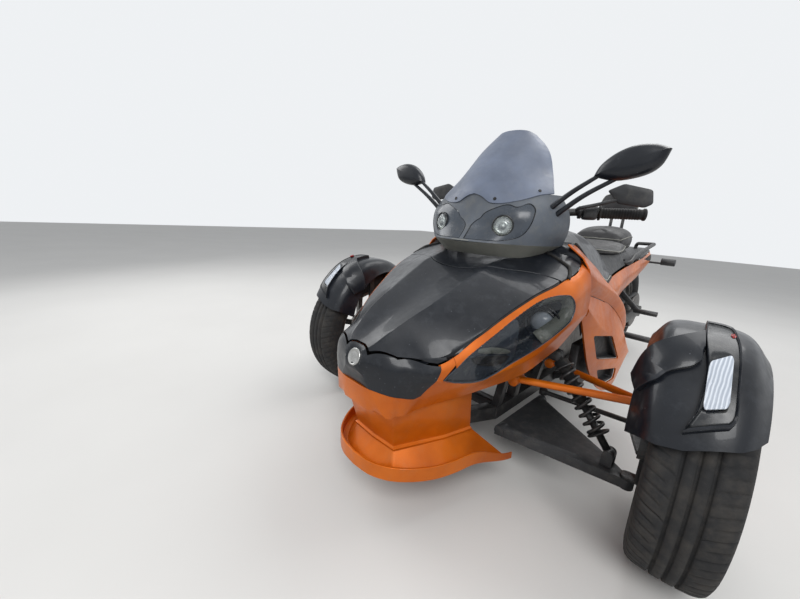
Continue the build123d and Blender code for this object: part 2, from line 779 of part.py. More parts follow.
def spring_leg(foot, top, across):
    """A shock whose two eyes lie along the across direction."""
    a = Vector(*foot)
    b = Vector(*top)
    half = Vector(*across) * (SHOCK_EYE_W / 2)
    run = (b - a)
    step = run.normalized()
    pieces = [rod(tuple(end - half), tuple(end + half), SHOCK_EYE_R) for end in (a, b)]
    pieces += [rod(foot, top, SHOCK_ROD_R), rod(tuple(a + run * 0.42), tuple(b - step * 18), SHOCK_BODY_R)]
    start = a + run * 0.2
    end = a + run * 0.86
    pieces.append(rod(tuple(start - step * 6), tuple(start), SPRING_R + 3))
    pieces.append(rod(tuple(end), tuple(end + step * 6), SPRING_R + 3))
    pieces.append(rod(tuple(start), tuple(end), SPRING_R - SPRING_WIRE))
    for i in range(SPRING_TURNS):
        centre = start + (end - start) * ((i + 0.5) / SPRING_TURNS)
        pieces.append(rod(tuple(centre - step * SPRING_WIRE), tuple(centre + step * SPRING_WIRE), SPRING_R))
    return merge(pieces)


def ear_pair(point, root, across):
    """Two plates from a shock's eye to the piece that carries it."""
    a = Vector(*across)
    ears = []
    for end in (1, -1):
        shift = a * (end * (SHOCK_EYE_W / 2 + GAP + EAR_T / 2))
        start = Vector(*point) + shift
        stop = Vector(*root) + shift
        ears.append(beam(tuple(start), tuple(stop), EAR_T, 2 * SHOCK_EYE_R, tuple((stop - start).cross(a))))
        ears.append(rod(tuple(start - a * (EAR_T / 2)), tuple(start + a * (EAR_T / 2)), SHOCK_EYE_R))
    return ears


# Front suspension arms
EYE_R = 19
EYE_H = 30
PIN_R = 8
ARM_TUBE_R = 11.5
LOWER_ARM_T = 30
LUG_R = 17


def make_upper_arm(side):
    joint = (KINGPIN_X * side, 0, UPPER_BALL_Z)
    eye_low = (KINGPIN_X * side, 0, UPPER_BALL_Z - EYE_H / 2)
    eye_high = (KINGPIN_X * side, 0, UPPER_BALL_Z + EYE_H / 2)
    pieces = [rod(eye_low, eye_high, EYE_R)]
    for pivot in (UPPER_FRONT_PIVOT, UPPER_REAR_PIVOT):
        pieces.append(rod(flip(pivot, side), joint, ARM_TUBE_R))
        x, y, z = flip(pivot, side)
        pieces.append(rod((x, y - 26, z), (x, y + 26, z), LUG_R))
    whole = merge(pieces)
    return whole - rod(eye_low[:2] + (UPPER_BALL_Z - 60,), eye_high[:2] + (UPPER_BALL_Z + 60,), PIN_R + GAP)


def make_lower_arm(side):
    x0 = LOWER_PIVOT_X + 10
    front = [(x0, LOWER_FRONT_Y - 20), (KINGPIN_X - 12, -17), (KINGPIN_X, -EYE_R)]
    rear = [(KINGPIN_X, EYE_R), (KINGPIN_X - 12, 17), (SHOCK_FOOT[0] - 10, 60), (x0, LOWER_REAR_Y + 20)]
    outline = [(x * side, y) for x, y in front + rear]
    plate = extrude(Plane.XY * Polygon(*outline, align=None), LOWER_ARM_T, dir=(0, 0, 1)).solid()
    plate = plate.moved(Location((0, 0, LOWER_BALL_Z - EYE_H / 2)))
    lugs = []
    for y in (LOWER_FRONT_Y, LOWER_REAR_Y):
        lug = ((LOWER_PIVOT_X + 24) * side, y, LOWER_BALL_Z + 3)
        lugs.append(rod((lug[0], y - 20, lug[2]), (lug[0], y + 20, lug[2]), LUG_R))
    x = KINGPIN_X * side
    eye = rod((x, 0, LOWER_BALL_Z - EYE_H / 2), (x, 0, LOWER_BALL_Z + EYE_H / 2), EYE_R)
    foot = flip(SHOCK_FOOT, side)
    ears = ear_pair(foot, (foot[0], foot[1], LOWER_BALL_Z), (0, 1, 0))
    whole = merge([plate, eye] + lugs + ears)
    xs = sorted(((KINGPIN_X - 34) * side, (KINGPIN_X + 40) * side))
    trim = block(*xs, -60, 60, LOWER_BALL_Z + EYE_H / 2, LOWER_BALL_Z + 60)
    bore = rod((x, 0, LOWER_BALL_Z - 60), (x, 0, LOWER_BALL_Z + 60), PIN_R + GAP)
    return whole - trim - bore


# Knuckles: upright, steering arm, caliper and fender bracket; drawn steered straight ahead
UPRIGHT_X = (WHEEL_X - 98, WHEEL_X - 62)
PLATE_T = 7
CALIPER_R = (86, 148)
CALIPER_X = (WHEEL_X - 74, WHEEL_X - 30)
DISC_X = WHEEL_X - 54
UPRIGHT_HALF = 20
AXLE_OUT = 52
BALL_IN = 20
BALL_PIN_R = 7
STEER_ARM_DROP = 8
ROD_EYE_R = 14
ROD_EYE_H = 18
FENDER_STAY_Y = -47
STAY_HALF = 12
STAY_FOOT_Z = 330
FENDER_IN = 92


def upright_end(side, z, up):
    """The plate beside an arm's eye and the pin that goes through the eye."""
    face = z - up * (EYE_H / 2 + 1)
    x = KINGPIN_X * side
    plate = rod((x, 0, face), (x, 0, face - up * PLATE_T), EYE_R)
    reach = block(*sorted((x, UPRIGHT_X[1] * side)), -EYE_R, EYE_R, *sorted((face, face - up * PLATE_T)))
    pin = rod((x, 0, face), (x, 0, z + up * (EYE_H / 2 + 5)), PIN_R)
    return [plate, reach, pin]


def make_knuckle(side):
    low = LOWER_BALL_Z + EYE_H / 2 + 1
    high = UPPER_BALL_Z - EYE_H / 2 - 1
    core = sorted(((UPRIGHT_X[0] + 8) * side, UPRIGHT_X[1] * side))
    axle_z = FRONT_TYRE_R
    arm_z = TIE_ROD_Z - ROD_EYE_H / 2 - STEER_ARM_DROP
    pieces = [block(*core, -UPRIGHT_HALF, UPRIGHT_HALF, low, high)]
    pieces += upright_end(side, UPPER_BALL_Z, 1) + upright_end(side, LOWER_BALL_Z, -1)
    pieces.append(rod((UPRIGHT_X[0] * side, 0, axle_z), ((DISC_X - DISC_T) * side, 0, axle_z), HUB_R))
    pieces.append(rod((UPRIGHT_X[1] * side, 0, axle_z), ((WHEEL_X + AXLE_OUT) * side, 0, axle_z), AXLE_R))
    x_ball, y_ball = KINGPIN_X - BALL_IN, STEER_ARM
    pieces.append(beam(((UPRIGHT_X[0] + 10) * side, 10, arm_z), (x_ball * side, y_ball + 12, arm_z), 26, 12))
    pieces.append(rod((x_ball * side, y_ball, arm_z), (x_ball * side, y_ball, TIE_ROD_Z + 13), BALL_PIN_R))
    bridge = block(*sorted((CALIPER_X[0] * side, CALIPER_X[1] * side)), CALIPER_R[0], CALIPER_R[1],
                   axle_z - 16, axle_z + 44)
    slot = block(*sorted(((DISC_X - 4) * side, (DISC_X + DISC_T + 4) * side)), 0, DISC_R + 5,
                 axle_z - 60, axle_z + 90)
    ear = block(*sorted(((UPRIGHT_X[0] + 12) * side, UPRIGHT_X[1] * side)), 15, CALIPER_R[1] - 30,
                axle_z - 4, axle_z + 30)
    pieces.append(merge([bridge - slot, ear]))
    stay_ys = (FENDER_STAY_Y - STAY_HALF, FENDER_STAY_Y + STAY_HALF)
    inner = (UPRIGHT_X[0] - 4) * side
    foot = block(*sorted((inner, UPRIGHT_X[1] * side)), stay_ys[0], -15, STAY_FOOT_Z, STAY_FOOT_Z + 26)
    stay = block(*sorted((inner, (WHEEL_X - FENDER_IN - SEAL) * side)), *stay_ys, STAY_FOOT_Z,
                 FRONT_TYRE_R + 325)
    return merge(pieces + [foot, stay])


# Wheels, turned about the x axis; each profile is offset from the wheel's middle, radius
def turned(profile, centre):
    """A ring with this profile, its axis along x through the centre."""
    face = Plane.XY * Polygon(*[(u, r) for u, r in profile], align=None)
    ring = revolve(face, Axis.X, 360).solid()
    return ring.moved(Location(centre))


def make_tyre(centre, radius, width, rim_r):
    half = width / 2
    side = [(0.73 * half, rim_r + 2.5), (0.755 * half, rim_r + 16), (0.9 * half, rim_r + 20),
            (half, (radius + rim_r) / 2 + 4), (0.97 * half, radius - 36), (0.86 * half, radius - 14),
            (0.62 * half, radius - 3.5), (0, radius)]
    profile = side + [(-u, r) for u, r in side[-2::-1]]
    return turned(profile, centre)


def make_rim(centre, width, rim_r, hub_x, spokes, spoke_x):
    half = 0.73 * width / 2
    outer = [(half + 5, rim_r + 14), (half, rim_r + 14), (half - 2, rim_r + 2), (half - 26, rim_r + 1.5),
             (half - 36, rim_r - 10)]
    outer = outer + [(-u, r) for u, r in outer[::-1]]
    inner = [(u - math.copysign(0 if abs(u) > half else 6, u), r - RIM_WALL) for u, r in outer]
    barrel = turned(outer + inner[::-1], centre)
    cx, cy, cz = centre
    hub = rod((hub_x[0], cy, cz), (hub_x[1], cy, cz), HUB_R)
    pieces = [barrel, hub]
    for i in range(spokes):
        angle = 2 * math.pi * i / spokes
        direction = Vector(0, math.sin(angle), math.cos(angle))
        start = Vector(spoke_x, cy, cz) + direction * (HUB_R - 8)
        end = Vector(spoke_x, cy, cz) + direction * (rim_r - 14)
        pieces.append(beam(tuple(start), tuple(end), SPOKE_W, SPOKE_T, (1, 0, 0)))
    whole = merge(pieces)
    bore = rod((cx - width, cy, cz), (cx + width, cy, cz), AXLE_R + GAP)
    return whole - bore


def make_disc(x, thick, centre, radius, bore):
    ring = rod((x, *centre[1:]), (x + thick, *centre[1:]), radius)
    return ring - rod((x - 1, *centre[1:]), (x + thick + 1, *centre[1:]), bore)


# Front fender sections: angle ahead of or behind the wheel's top, then offset and radius
FENDER_T = 4
FENDER_SECTIONS = [
    (-47, (-FENDER_IN, 222), (-84, 316), (-32, 334), (60, 328), (99, 286)),
    (-20, (-FENDER_IN, 300), (-82, 366), (-36, 382), (58, 364), (99, 300)),
    (12, (-FENDER_IN, 306), (-80, 370), (-30, 386), (60, 372), (99, 300)),
    (40, (-90, 302), (-76, 350), (-25, 364), (58, 352), (96, 300)),
    (66, (-90, 300), (-66, 320), (-20, 330), (50, 324), (92, 298)),
]
FENDER_LAMP_ARC = (-43, -25)
FENDER_LAMP_U = (-40, 26)


def fender_point(side, u, radius, degrees):
    angle = math.radians(degrees)
    return ((WHEEL_X + u) * side, radius * math.sin(angle), FRONT_TYRE_R + radius * math.cos(angle))


def make_fender(side):
    faces = []
    for degrees, *line in FENDER_SECTIONS:
        back = thicken(line, FENDER_T)
        faces.append(ngon([fender_point(side, u, r, degrees) for u, r in line + back[::-1]]))
    return hull(faces) - fender_lamp_prism(side, 0, -10, 12)


def fender_crown(u, degrees):
    """Radius of the fender's skin between its two crown points, at any angle."""
    for near, far in zip(FENDER_SECTIONS, FENDER_SECTIONS[1:]):
        if near[0] <= degrees <= far[0]:
            share = (degrees - near[0]) / (far[0] - near[0])
            ends = [tuple(p + (q - p) * share for p, q in zip(near[i], far[i])) for i in (3, 4)]
            part = (u - ends[0][0]) / (ends[1][0] - ends[0][0])
            return ends[0][1] + (ends[1][1] - ends[0][1]) * part
    raise ValueError(degrees)


def fender_lamp_prism(side, shrink, inner, outer):
    faces = []
    for degrees in (FENDER_LAMP_ARC[0] + shrink / 6, FENDER_LAMP_ARC[1] - shrink / 6):
        us = (FENDER_LAMP_U[0] + shrink, FENDER_LAMP_U[1] - shrink)
        ring = [(us[0], fender_crown(us[0], degrees) + inner), (us[1], fender_crown(us[1], degrees) + inner),
                (us[1], fender_crown(us[1], degrees) + outer), (us[0], fender_crown(us[0], degrees) + outer)]
        faces.append(ngon([fender_point(side, u, r, degrees) for u, r in ring]))
    return hull(faces)


def make_fender_lamp(side):
    return fender_lamp_prism(side, SEAM, -9, 5)


# Tie rods, parallel to the x axis whatever the steering does
def tie_rod_ball(side):
    angle = math.radians(STEER_REST)
    x, y = -BALL_IN * side, STEER_ARM
    return (KINGPIN_X * side + x * math.cos(angle) - y * math.sin(angle),
            x * math.sin(angle) + y * math.cos(angle), TIE_ROD_Z)


def make_tie_rod(side):
    x, y, z = tie_rod_ball(side)
    inner = (TIE_ROD_INNER_X * side, y, TIE_ROD_INNER_Z)
    eye = rod((x, y, z - ROD_EYE_H / 2), (x, y, z + ROD_EYE_H / 2), ROD_EYE_R)
    boss = rod((inner[0], y, inner[2] - ROD_EYE_H / 2), (inner[0], y, inner[2] + ROD_EYE_H / 2), ROD_EYE_R)
    whole = merge([rod(inner, (x, y, z), TIE_ROD_R), eye, boss])
    return whole - rod((x, y, z - 40), (x, y, z + 40), BALL_PIN_R + GAP)


# Handlebar and what it carries, drawn straight ahead
BAR_PATH = [(0, 210, 876), (96, 206, 878), (190, 232, 890), (GRIP_OUT_X + 4, 306, 895)]
POD_X = (215, 260)


def bar_at(x):
    """The point of the bar's outer run at this distance from the middle."""
    a, b = BAR_PATH[2], BAR_PATH[3]
    share = (x - a[0]) / (b[0] - a[0])
    return tuple(a[i] + (b[i] - a[i]) * share for i in range(3))


def make_handlebar():
    half = BAR_PATH[1:]
    points = [flip(p, -1) for p in half[::-1]] + half
    bar = pipe(points, BAR_R, 40)
    column = rod(column_point(505), column_point(COLUMN_TOP_Z), COLUMN_R)
    clamp = block(-46, 46, COLUMN_Y - 24, COLUMN_Y + 22, COLUMN_TOP_Z - 16, COLUMN_TOP_Z + 24)
    return merge([bar, column, clamp])


def make_grips():
    grips = []
    for side in (1, -1):
        start, end = flip(bar_at(GRIP_IN_X), side), flip(bar_at(GRIP_OUT_X), side)
        far = Vector(*end) + (Vector(*end) - Vector(*start)).normalized() * 12
        sleeve = rod(start, tuple(far), GRIP_R) - rod(start, flip(bar_at(GRIP_OUT_X + 5), side), BAR_R)
        grips.append(sleeve)
    return grips


def make_switch_pods():
    pods = []
    for side in (1, -1):
        a, b = Vector(*flip(bar_at(POD_X[0]), side)), Vector(*flip(bar_at(POD_X[1]), side))
        shell = beam(tuple(a), tuple(b), 54, 50)
        pods.append(shell - rod(tuple(a - (b - a)), tuple(b + (b - a)), BAR_R))
    return pods


GUARD_OUTLINE = [(286, 962), (330, 984), (408, 966), (416, 925), (396, 912), (322, 922)]
GUARD_Y = 208


def make_hand_guards():
    guards = []
    for side in (1, -1):
        plate = Polygon(*[(x * side, z) for x, z in GUARD_OUTLINE], align=None)
        front = Plane(origin=(0, GUARD_Y, 0), x_dir=(1, 0, 0), z_dir=(0, -1, 0))
        blade = extrude(front * plate, 8, dir=(0, 1, 0)).solid()
        foot = Vector(*bar_at(POD_X[0] - 8))
        ring = rod(flip(bar_at(POD_X[0] - 14), side), flip(bar_at(POD_X[0] - 2), side), BAR_R + 8)
        ring = ring - rod(flip(bar_at(POD_X[0] - 40), side), flip(bar_at(POD_X[0] + 20), side), BAR_R)
        elbow = (foot.X, GUARD_Y - 10, foot.Z + 6)
        reach = beam(flip((foot.X, foot.Y - BAR_R - 4, foot.Z), side), flip(elbow, side), 8, 16)
        arm = beam(flip(elbow, side), flip((330, GUARD_Y + 1, 935), side), 8, 16)
        guards.append(merge([blade, ring, reach, arm]))
    return guards


# Instrument panel on its cross plate, which also carries the cowl
PLATE_Y = (22, 82)
PLATE_H = 8
DIAL_Y = 66
DIAL_DEPTH = 62
DIAL_Z = (STAY_TOP_Z + 26, STAY_TOP_Z + 88)


def make_instrument_panel():
    plate = block(-300, 300, *PLATE_Y, STAY_TOP_Z, STAY_TOP_Z + PLATE_H) & cowl_inside()
    stem = block(-40, 40, DIAL_Y - 16, DIAL_Y + 14, STAY_TOP_Z + PLATE_H, DIAL_Z[0] + 6)
    face = [(-96, DIAL_Z[0]), (96, DIAL_Z[0]), (84, DIAL_Z[1]), (-84, DIAL_Z[1])]
    plane = Plane(origin=(0, DIAL_Y, 0), x_dir=(1, 0, 0), z_dir=(0, -1, 0))
    dial = extrude(plane * Polygon(*face, align=None), DIAL_DEPTH, dir=(0, 1, 0)).solid()
    return merge([plate, stem, dial])


# Cover between the handlebar and the seat; its edge lies on the panels beside it.
# Each row is y and the line from the middle outwards, without that edge
COVER_WALL = 5
COVER_SECTIONS = [
    (104, [(0, 792), (90, 790), (180, 788)]),
    (160, [(0, 797), (88, 794), (165, 784)]),
    (240, [(0, 805), (84, 799), (142, 777)]),
    (400, [(0, 826), (91, 820), (151, 785)]),
    (560, [(0, 818), (94, 811), (155, 770)]),
    (606, [(0, 811), (94, 805), (156, 763)]),
    (742, [(0, 784), (84, 778), (138, 738)]),
]
COLUMN_HOLE_R = 24


def make_tank_cover():
    rows = []
    for y, line in COVER_SECTIONS:
        table = SHOULDER_STATIONS if y < SHOULDER_STATIONS[-1][0] else TAIL_STATIONS
        x, z = row_at(table, y)[0]
        rows.append((y, line + [(x, z + SEAM + COVER_WALL)]))
    shell = arched_shell(rows, COVER_WALL)
    y, line = rows[-1]
    x, z = line[0]
    wall = thicken([(-x, z) for x, z in line[-2:0:-1]] + line[:-1], COVER_WALL / 2)
    plane = Plane(origin=(0, y, 0), x_dir=(1, 0, 0), z_dir=(0, -1, 0))
    bulkhead = extrude(plane * Polygon(*wall, align=None), COVER_WALL, dir=(0, -1, 0)).solid()
    leaf = block(-HINGE_HALF, HINGE_HALF, y - COVER_WALL, SEAT_HINGE[0], SEAT_HINGE[1] - 4, SEAT_HINGE[1] + 4)
    barrel = rod((-HINGE_HALF, *SEAT_HINGE), (HINGE_HALF, *SEAT_HINGE), HINGE_R)
    hole = rod(column_point(740), column_point(860), COLUMN_HOLE_R)
    return merge([shell, bulkhead, leaf, barrel]) - hole


# Seat: a tray with two pads, hinged at its front edge
SEAT_TOP_Z = 712
SEAT_WALL = 8
SEAT_EDGE_IN = 6
SEAT_EDGE_UP = 12
SEAT_HINGE = (749, 764)
HINGE_R = 6
HINGE_HALF = 12
HINGE_OUT = 38
TRAY_SECTIONS = [(753, 118), (900, 150), (1060, 158), (1300, 134), (1448, 104)]
RIDER_PAD = [(757, 118, 760), (900, 172, 744), (1060, 182, 744), (1150, 170, 784)]
PASSENGER_PAD = [(1172, 132, 822), (1280, 142, 850), (1380, 136, 850), (1440, 116, 838)]


def make_pad(sections):
    faces = []
    for y, half, top in sections:
        side_z = SEAT_TOP_Z + (top - SEAT_TOP_Z) * 0.45
        line = [(half * 0.86, SEAT_TOP_Z), (half, side_z), (half * 0.72, top - 6)]
        faces.append(ngon([(-x, y, z) for x, z in line] + [(0, y, top)] + [(x, y, z) for x, z in line[::-1]]))
    return hull(faces)


def make_seat_base():
    rows = []
    for y, half in TRAY_SECTIONS:
        x, z = row_at(TAIL_STATIONS, y)[0]
        rows.append((y, [(0, SEAT_TOP_Z), (half, SEAT_TOP_Z), (x - SEAT_EDGE_IN, z + SEAT_EDGE_UP)]))
    tray = arched_shell(rows, SEAT_WALL)
    hinge = []
    for side in (1, -1):
        xs = sorted(((HINGE_HALF + SEAM) * side, HINGE_OUT * side))
        hinge.append(rod((xs[0], *SEAT_HINGE), (xs[1], *SEAT_HINGE), HINGE_R))
        hinge.append(block(*xs, SEAT_HINGE[0] + 1, RIDER_PAD[0][0] - GAP, SEAT_TOP_Z - SEAT_WALL,
                           SEAT_HINGE[1]))
        hinge.append(block(*xs, SEAT_HINGE[0] + 1, TRAY_SECTIONS[0][0] + 12, SEAT_TOP_Z - SEAT_WALL,
                           SEAT_TOP_Z - 1))
    notch_y = (HANDLE_ROOT_Y - HANDLE_R - 16, HANDLE_ROOT_Y + HANDLE_R + 7)
    notch = block(-260, 260, *notch_y, 600, rail_at(HANDLE_ROOT_Y)[1] + HANDLE_R + 8)
    return merge([tray] + hinge) - notch


# Tail: a panel on each side, the lamp, signals, handles and the plate's carrier
TAIL_STATIONS = [
    (620, (238, 606), (250, 540), (238, 472)),
    (812, (214, 622), (238, 560), (236, 482)),
    (1056, (196, 640), (214, 590), (206, 512)),
    (WHEELBASE - 187, (178, 676), (190, 626), (172, 566)),
    (WHEELBASE + 173, (138, 700), (152, 662), (134, 616)),
    (WHEELBASE + 333, (96, 706), (108, 680), (96, 650)),
]


def make_tail_panel(side):
    return side_shell(TAIL_STATIONS, side, PANEL)


# Tail deck: closes the top between the tail panels, with holes for a rack
DECK_Z = 716
DECK_WALL = 5
DECK_FLAT = 84
DECK_YS = (WHEELBASE - 267, WHEELBASE - 187, WHEELBASE + 173, WHEELBASE + 329)
RACK_HOLES = (120, 200)
RACK_Y = WHEELBASE + 13
RACK_HOLE_R = 4.2


def make_tail_deck():
    rows = []
    for y in DECK_YS:
        x, z = row_at(TAIL_STATIONS, y)[0]
        rows.append((y, [(0, DECK_Z), (DECK_FLAT, DECK_Z), (x, z + SEAM + DECK_WALL)]))
    deck = arched_shell(rows, DECK_WALL)
    for i in (1, -1):
        for j in (1, -1):
            x, y = i * RACK_HOLES[0] / 2, RACK_Y + j * RACK_HOLES[1] / 2
            deck = deck - rod((x, y, DECK_Z - 20), (x, y, DECK_Z + 20), RACK_HOLE_R)
    return deck


# Backrest: two posts on the deck and one pad
POST_X = 33
POST_Y = WHEELBASE - 235
POST_R = 9
POST_TOP_Z = 1000
POST_LEAN = 14
REST_Y = (-34, -10)
REST_OUTLINE = [(76, 930), (104, 950), (112, 1000), (92, 1046), (50, 1058)]


def make_backrest():
    pieces = []
    for side in (1, -1):
        x = POST_X * side
        foot_z = DECK_Z + SEAL
        pieces.append(rod((x, POST_Y, foot_z + 3), (x, POST_Y + POST_LEAN, POST_TOP_Z), POST_R))
        pieces.append(rod((x, POST_Y, foot_z), (x, POST_Y, foot_z + 6), POST_R + 9))
    line = [(-x, z) for x, z in REST_OUTLINE] + REST_OUTLINE[::-1]
    plane = Plane(origin=(0, POST_Y + REST_Y[1] + POST_R + 8, 0), x_dir=(1, 0, 0), z_dir=(0, -1, 0))
    pieces.append(extrude(plane * Polygon(*line, align=None), REST_Y[1] - REST_Y[0], dir=(0, -1, 0)).solid())
    return merge(pieces)


TAIL_LAMP_Z = (652, 700)
TAIL_LAMP_HALF = (86, 78)
TAIL_LAMP_REAR_Y = WHEELBASE + 345


def make_tail_lamp():
    low, high = TAIL_LAMP_Z
    faces = []
    for y, half, top in ((RAIL_PATH[-1][1] + SEAL, TAIL_LAMP_HALF[0], high),
                         (TAIL_LAMP_REAR_Y, TAIL_LAMP_HALF[1], high - 4)):
        faces.append(ngon([(-half, y, low), (half, y, low), (half, y, top), (-half, y, top)]))
    return hull(faces)


CARRIER_REAR_Y = WHEELBASE + 390
CARRIER_HALF = 62
CARRIER_STEP_Y = (TAIL_CROSS_Y - 12, TAIL_CROSS_Y + 14, TAIL_CROSS_Y + 76)
CARRIER_UNDER_Z = 616
CARRIER_FOOT_Z = 430


def make_plate_carrier():
    cross_z = rail_at(TAIL_CROSS_Y)[1] - 15 - SEAL
    top_z = TAIL_LAMP_Z[0] - SEAL
    first, step, rear = CARRIER_STEP_Y
    front = Plane.YZ * Polygon((first, CARRIER_UNDER_Z), (first, cross_z), (step, cross_z), (step, top_z),
                               (rear, top_z), (CARRIER_REAR_Y, CARRIER_FOOT_Z + 20),
                               (CARRIER_REAR_Y - 5, CARRIER_FOOT_Z), (CARRIER_REAR_Y - 21, CARRIER_FOOT_Z),
                               (rear - 26, CARRIER_UNDER_Z), align=None)
    return extrude(front, CARRIER_HALF, both=True).solid()


SIGNAL_Y = WHEELBASE + 248
SIGNAL_STALK_Z = 622
SIGNAL_POD_Z = 634
SIGNAL_POD_X = (205, 285)
SIGNAL_POD_R = 24
SIGNAL_STALK_R = 7


def make_rear_signals():
    pods = []
    for side in (1, -1):
        root = (CARRIER_HALF + SEAL) * side
        inner, outer = (x * side for x in SIGNAL_POD_X)
        stalk = rod((root, SIGNAL_Y, SIGNAL_STALK_Z), (inner + 10 * side, SIGNAL_Y, SIGNAL_STALK_Z),
                    SIGNAL_STALK_R)
        pod = rod((inner, SIGNAL_Y, SIGNAL_POD_Z), (outer, SIGNAL_Y, SIGNAL_POD_Z), SIGNAL_POD_R)
        pods.append(merge([stalk, pod]))
    return pods


HANDLE_R = 11
HANDLE_ROOT_Y = 1120
HANDLE_OUT_X = 200
HANDLE_BEND = 26


def make_grab_handles():
    x0, z0 = rail_at(HANDLE_ROOT_Y)
    x1 = DECK_FLAT - HANDLE_R - 3
    end_y = RACK_Y + 60
    path = [(x0 + RAIL_W / 2 + SEAL + 1, HANDLE_ROOT_Y, z0), (HANDLE_OUT_X, HANDLE_ROOT_Y, z0),
            (HANDLE_OUT_X - 2, HANDLE_ROOT_Y + 90, 700), (HANDLE_OUT_X - 10, RACK_Y - 50, 758),
            (x1, end_y, 752), (x1, end_y, DECK_Z + SEAL)]
    return [pipe([flip(p, side) for p in path], HANDLE_R, HANDLE_BEND) for side in (1, -1)]


# Foot pegs: y, z, the peg's inner and outer end, then the bracket's outline in x and z
SPAR_FACE_X = SPAR_X + SPAR_W / 2 + SEAL
PEGS = [
    (850, 345, 250, 430, [(SPAR_FACE_X, 190), (SPAR_FACE_X, 222), (258, 362), (276, 340)]),
    (1216, 400, 250, 360, [(134, 652), (137, 676), (152, 676), (178, 500), (272, 412), (262, 386),
                           (160, 480)]),
]
PEG_R = 14
PEG_BRACKET_T = 16


def make_foot_pegs():
    pegs = []
    for side in (1, -1):
        for y, z, inner, outer, outline in PEGS:
            peg = rod((inner * side, y, z), (outer * side, y, z), PEG_R)
            plane = Plane(origin=(0, y + PEG_BRACKET_T / 2, 0), x_dir=(1, 0, 0), z_dir=(0, -1, 0))
            shape = Polygon(*[(x * side, z) for x, z in outline], align=None)
            pegs.append(merge([peg, extrude(plane * shape, PEG_BRACKET_T, dir=(0, -1, 0)).solid()]))
    return pegs


EXHAUST_X = 264
CAN_R = 58
HEADER_R = 22


def make_exhaust():
    header = pipe([(-ENGINE_X - SEAL, 980, 260), (-ENGINE_X - 56, 980, 260), (-EXHAUST_X, 1130, 250),
                   (-EXHAUST_X, 1210, 250)], HEADER_R, 26)
    can = rod((-EXHAUST_X, 1205, 250), (-EXHAUST_X - 10, 1520, 300), CAN_R)
    tip = rod((-EXHAUST_X - 10, 1518, 300), (-EXHAUST_X - 12, 1560, 306), 26)
    return merge([header, can, tip])


# Each body's pieces; a steered piece is turned by the rest angle about its own axis
KINGPIN = {side: Axis((KINGPIN_X * side, 0, 0), (0, 0, 1)) for side in (1, -1)}
COLUMN = Axis(column_point(0), Vector(*column_point(100)) - Vector(*column_point(0)))

parts = {}


def add(name, shape, steered=None):
    """Stores a piece; a list of solids becomes one piece."""
    whole = Compound(shape) if isinstance(shape, list) else shape
    parts[name] = whole.rotate(steered, STEER_REST) if steered else whole


add("hood", make_hood())
add("cowl_neck", make_cowl_neck())
add("nose_panel", make_nose())
add("front_bumper", make_front_bumper())
add("trunk_tub", make_trunk_tub())
add("cowl", make_cowl())
add("cowl_lamps", make_cowl_lamps())
add("windscreen", make_windscreen())
add("mirrors", make_mirrors())
add("radiators", make_radiators())
add("frame", make_frame())
add("front_frame", make_front_frame())
add("engine", make_engine())
add("drive_belt", make_drive_belt())
add("swing_arm", make_swing_arm())
add("instrument_panel", make_instrument_panel())
add("tank_cover", make_tank_cover())
add("seat_base", make_seat_base())
add("seat_pads", [make_pad(RIDER_PAD), make_pad(PASSENGER_PAD)])
add("tail_deck", make_tail_deck())
add("backrest", make_backrest())
add("tail_lamp", make_tail_lamp())
add("plate_carrier", make_plate_carrier())
add("rear_signals", make_rear_signals())
add("grab_handles", make_grab_handles())
add("foot_pegs", make_foot_pegs())
add("exhaust", make_exhaust())
add("handlebar", make_handlebar(), COLUMN)
add("grips", make_grips(), COLUMN)
add("switch_pods", make_switch_pods(), COLUMN)
add("hand_guards", make_hand_guards(), COLUMN)
for name, make in (("side_fairings", make_side_fairing), ("headlamps", make_headlamp),
                   ("side_panels", make_side_panel), ("tail_panels", make_tail_panel),
                   ("upper_arms", make_upper_arm), ("lower_arms", make_lower_arm)):
    add(name, [make(side) for side in (1, -1)])
add("shoulder_panels", [side_shell(SHOULDER_STATIONS, side, PANEL) for side in (1, -1)])
add("shocks", [spring_leg(flip(SHOCK_FOOT, side), flip(SHOCK_TOP, side), (0, 1, 0)) for side in (1, -1)]
    + [spring_leg(REAR_SHOCK_FOOT, REAR_SHOCK_TOP, (1, 0, 0))])
for side in (1, -1):
    name = side_name(side)
    wheel = (WHEEL_X * side, 0, FRONT_TYRE_R)
    hub_x = sorted(((DISC_X + DISC_T) * side, (WHEEL_X + 46) * side))
    disc_x = min(DISC_X * side, (DISC_X + DISC_T) * side)
    add("knuckle_" + name, make_knuckle(side), KINGPIN[side])
    add("fender_" + name, make_fender(side), KINGPIN[side])
    add("fender_lamp_" + name, make_fender_lamp(side), KINGPIN[side])
    add("tyre_front_" + name, make_tyre(wheel, FRONT_TYRE_R, FRONT_TYRE_W, FRONT_RIM_R), KINGPIN[side])
    rim = make_rim(wheel, FRONT_TYRE_W, FRONT_RIM_R, hub_x, 5, (WHEEL_X + 30) * side)
    add("rim_front_" + name, rim, KINGPIN[side])
    add("disc_front_" + name, make_disc(disc_x, DISC_T, wheel, DISC_R, HUB_R - 8), KINGPIN[side])
    add("tie_rod_" + name, make_tie_rod(side))
rear = (0, WHEELBASE, REAR_TYRE_R)
add("tyre_rear", make_tyre(rear, REAR_TYRE_R, REAR_TYRE_W, REAR_RIM_R))
add("rim_rear", make_rim(rear, REAR_TYRE_W, REAR_RIM_R, (-150, 122), 5, 20))
pulley = rod((122, WHEELBASE, REAR_TYRE_R), (BELT_X[1] + 4, WHEELBASE, REAR_TYRE_R), REAR_PULLEY_R)
add("pulley_rear", pulley - rod((0, WHEELBASE, REAR_TYRE_R), (300, WHEELBASE, REAR_TYRE_R), AXLE_R + GAP))

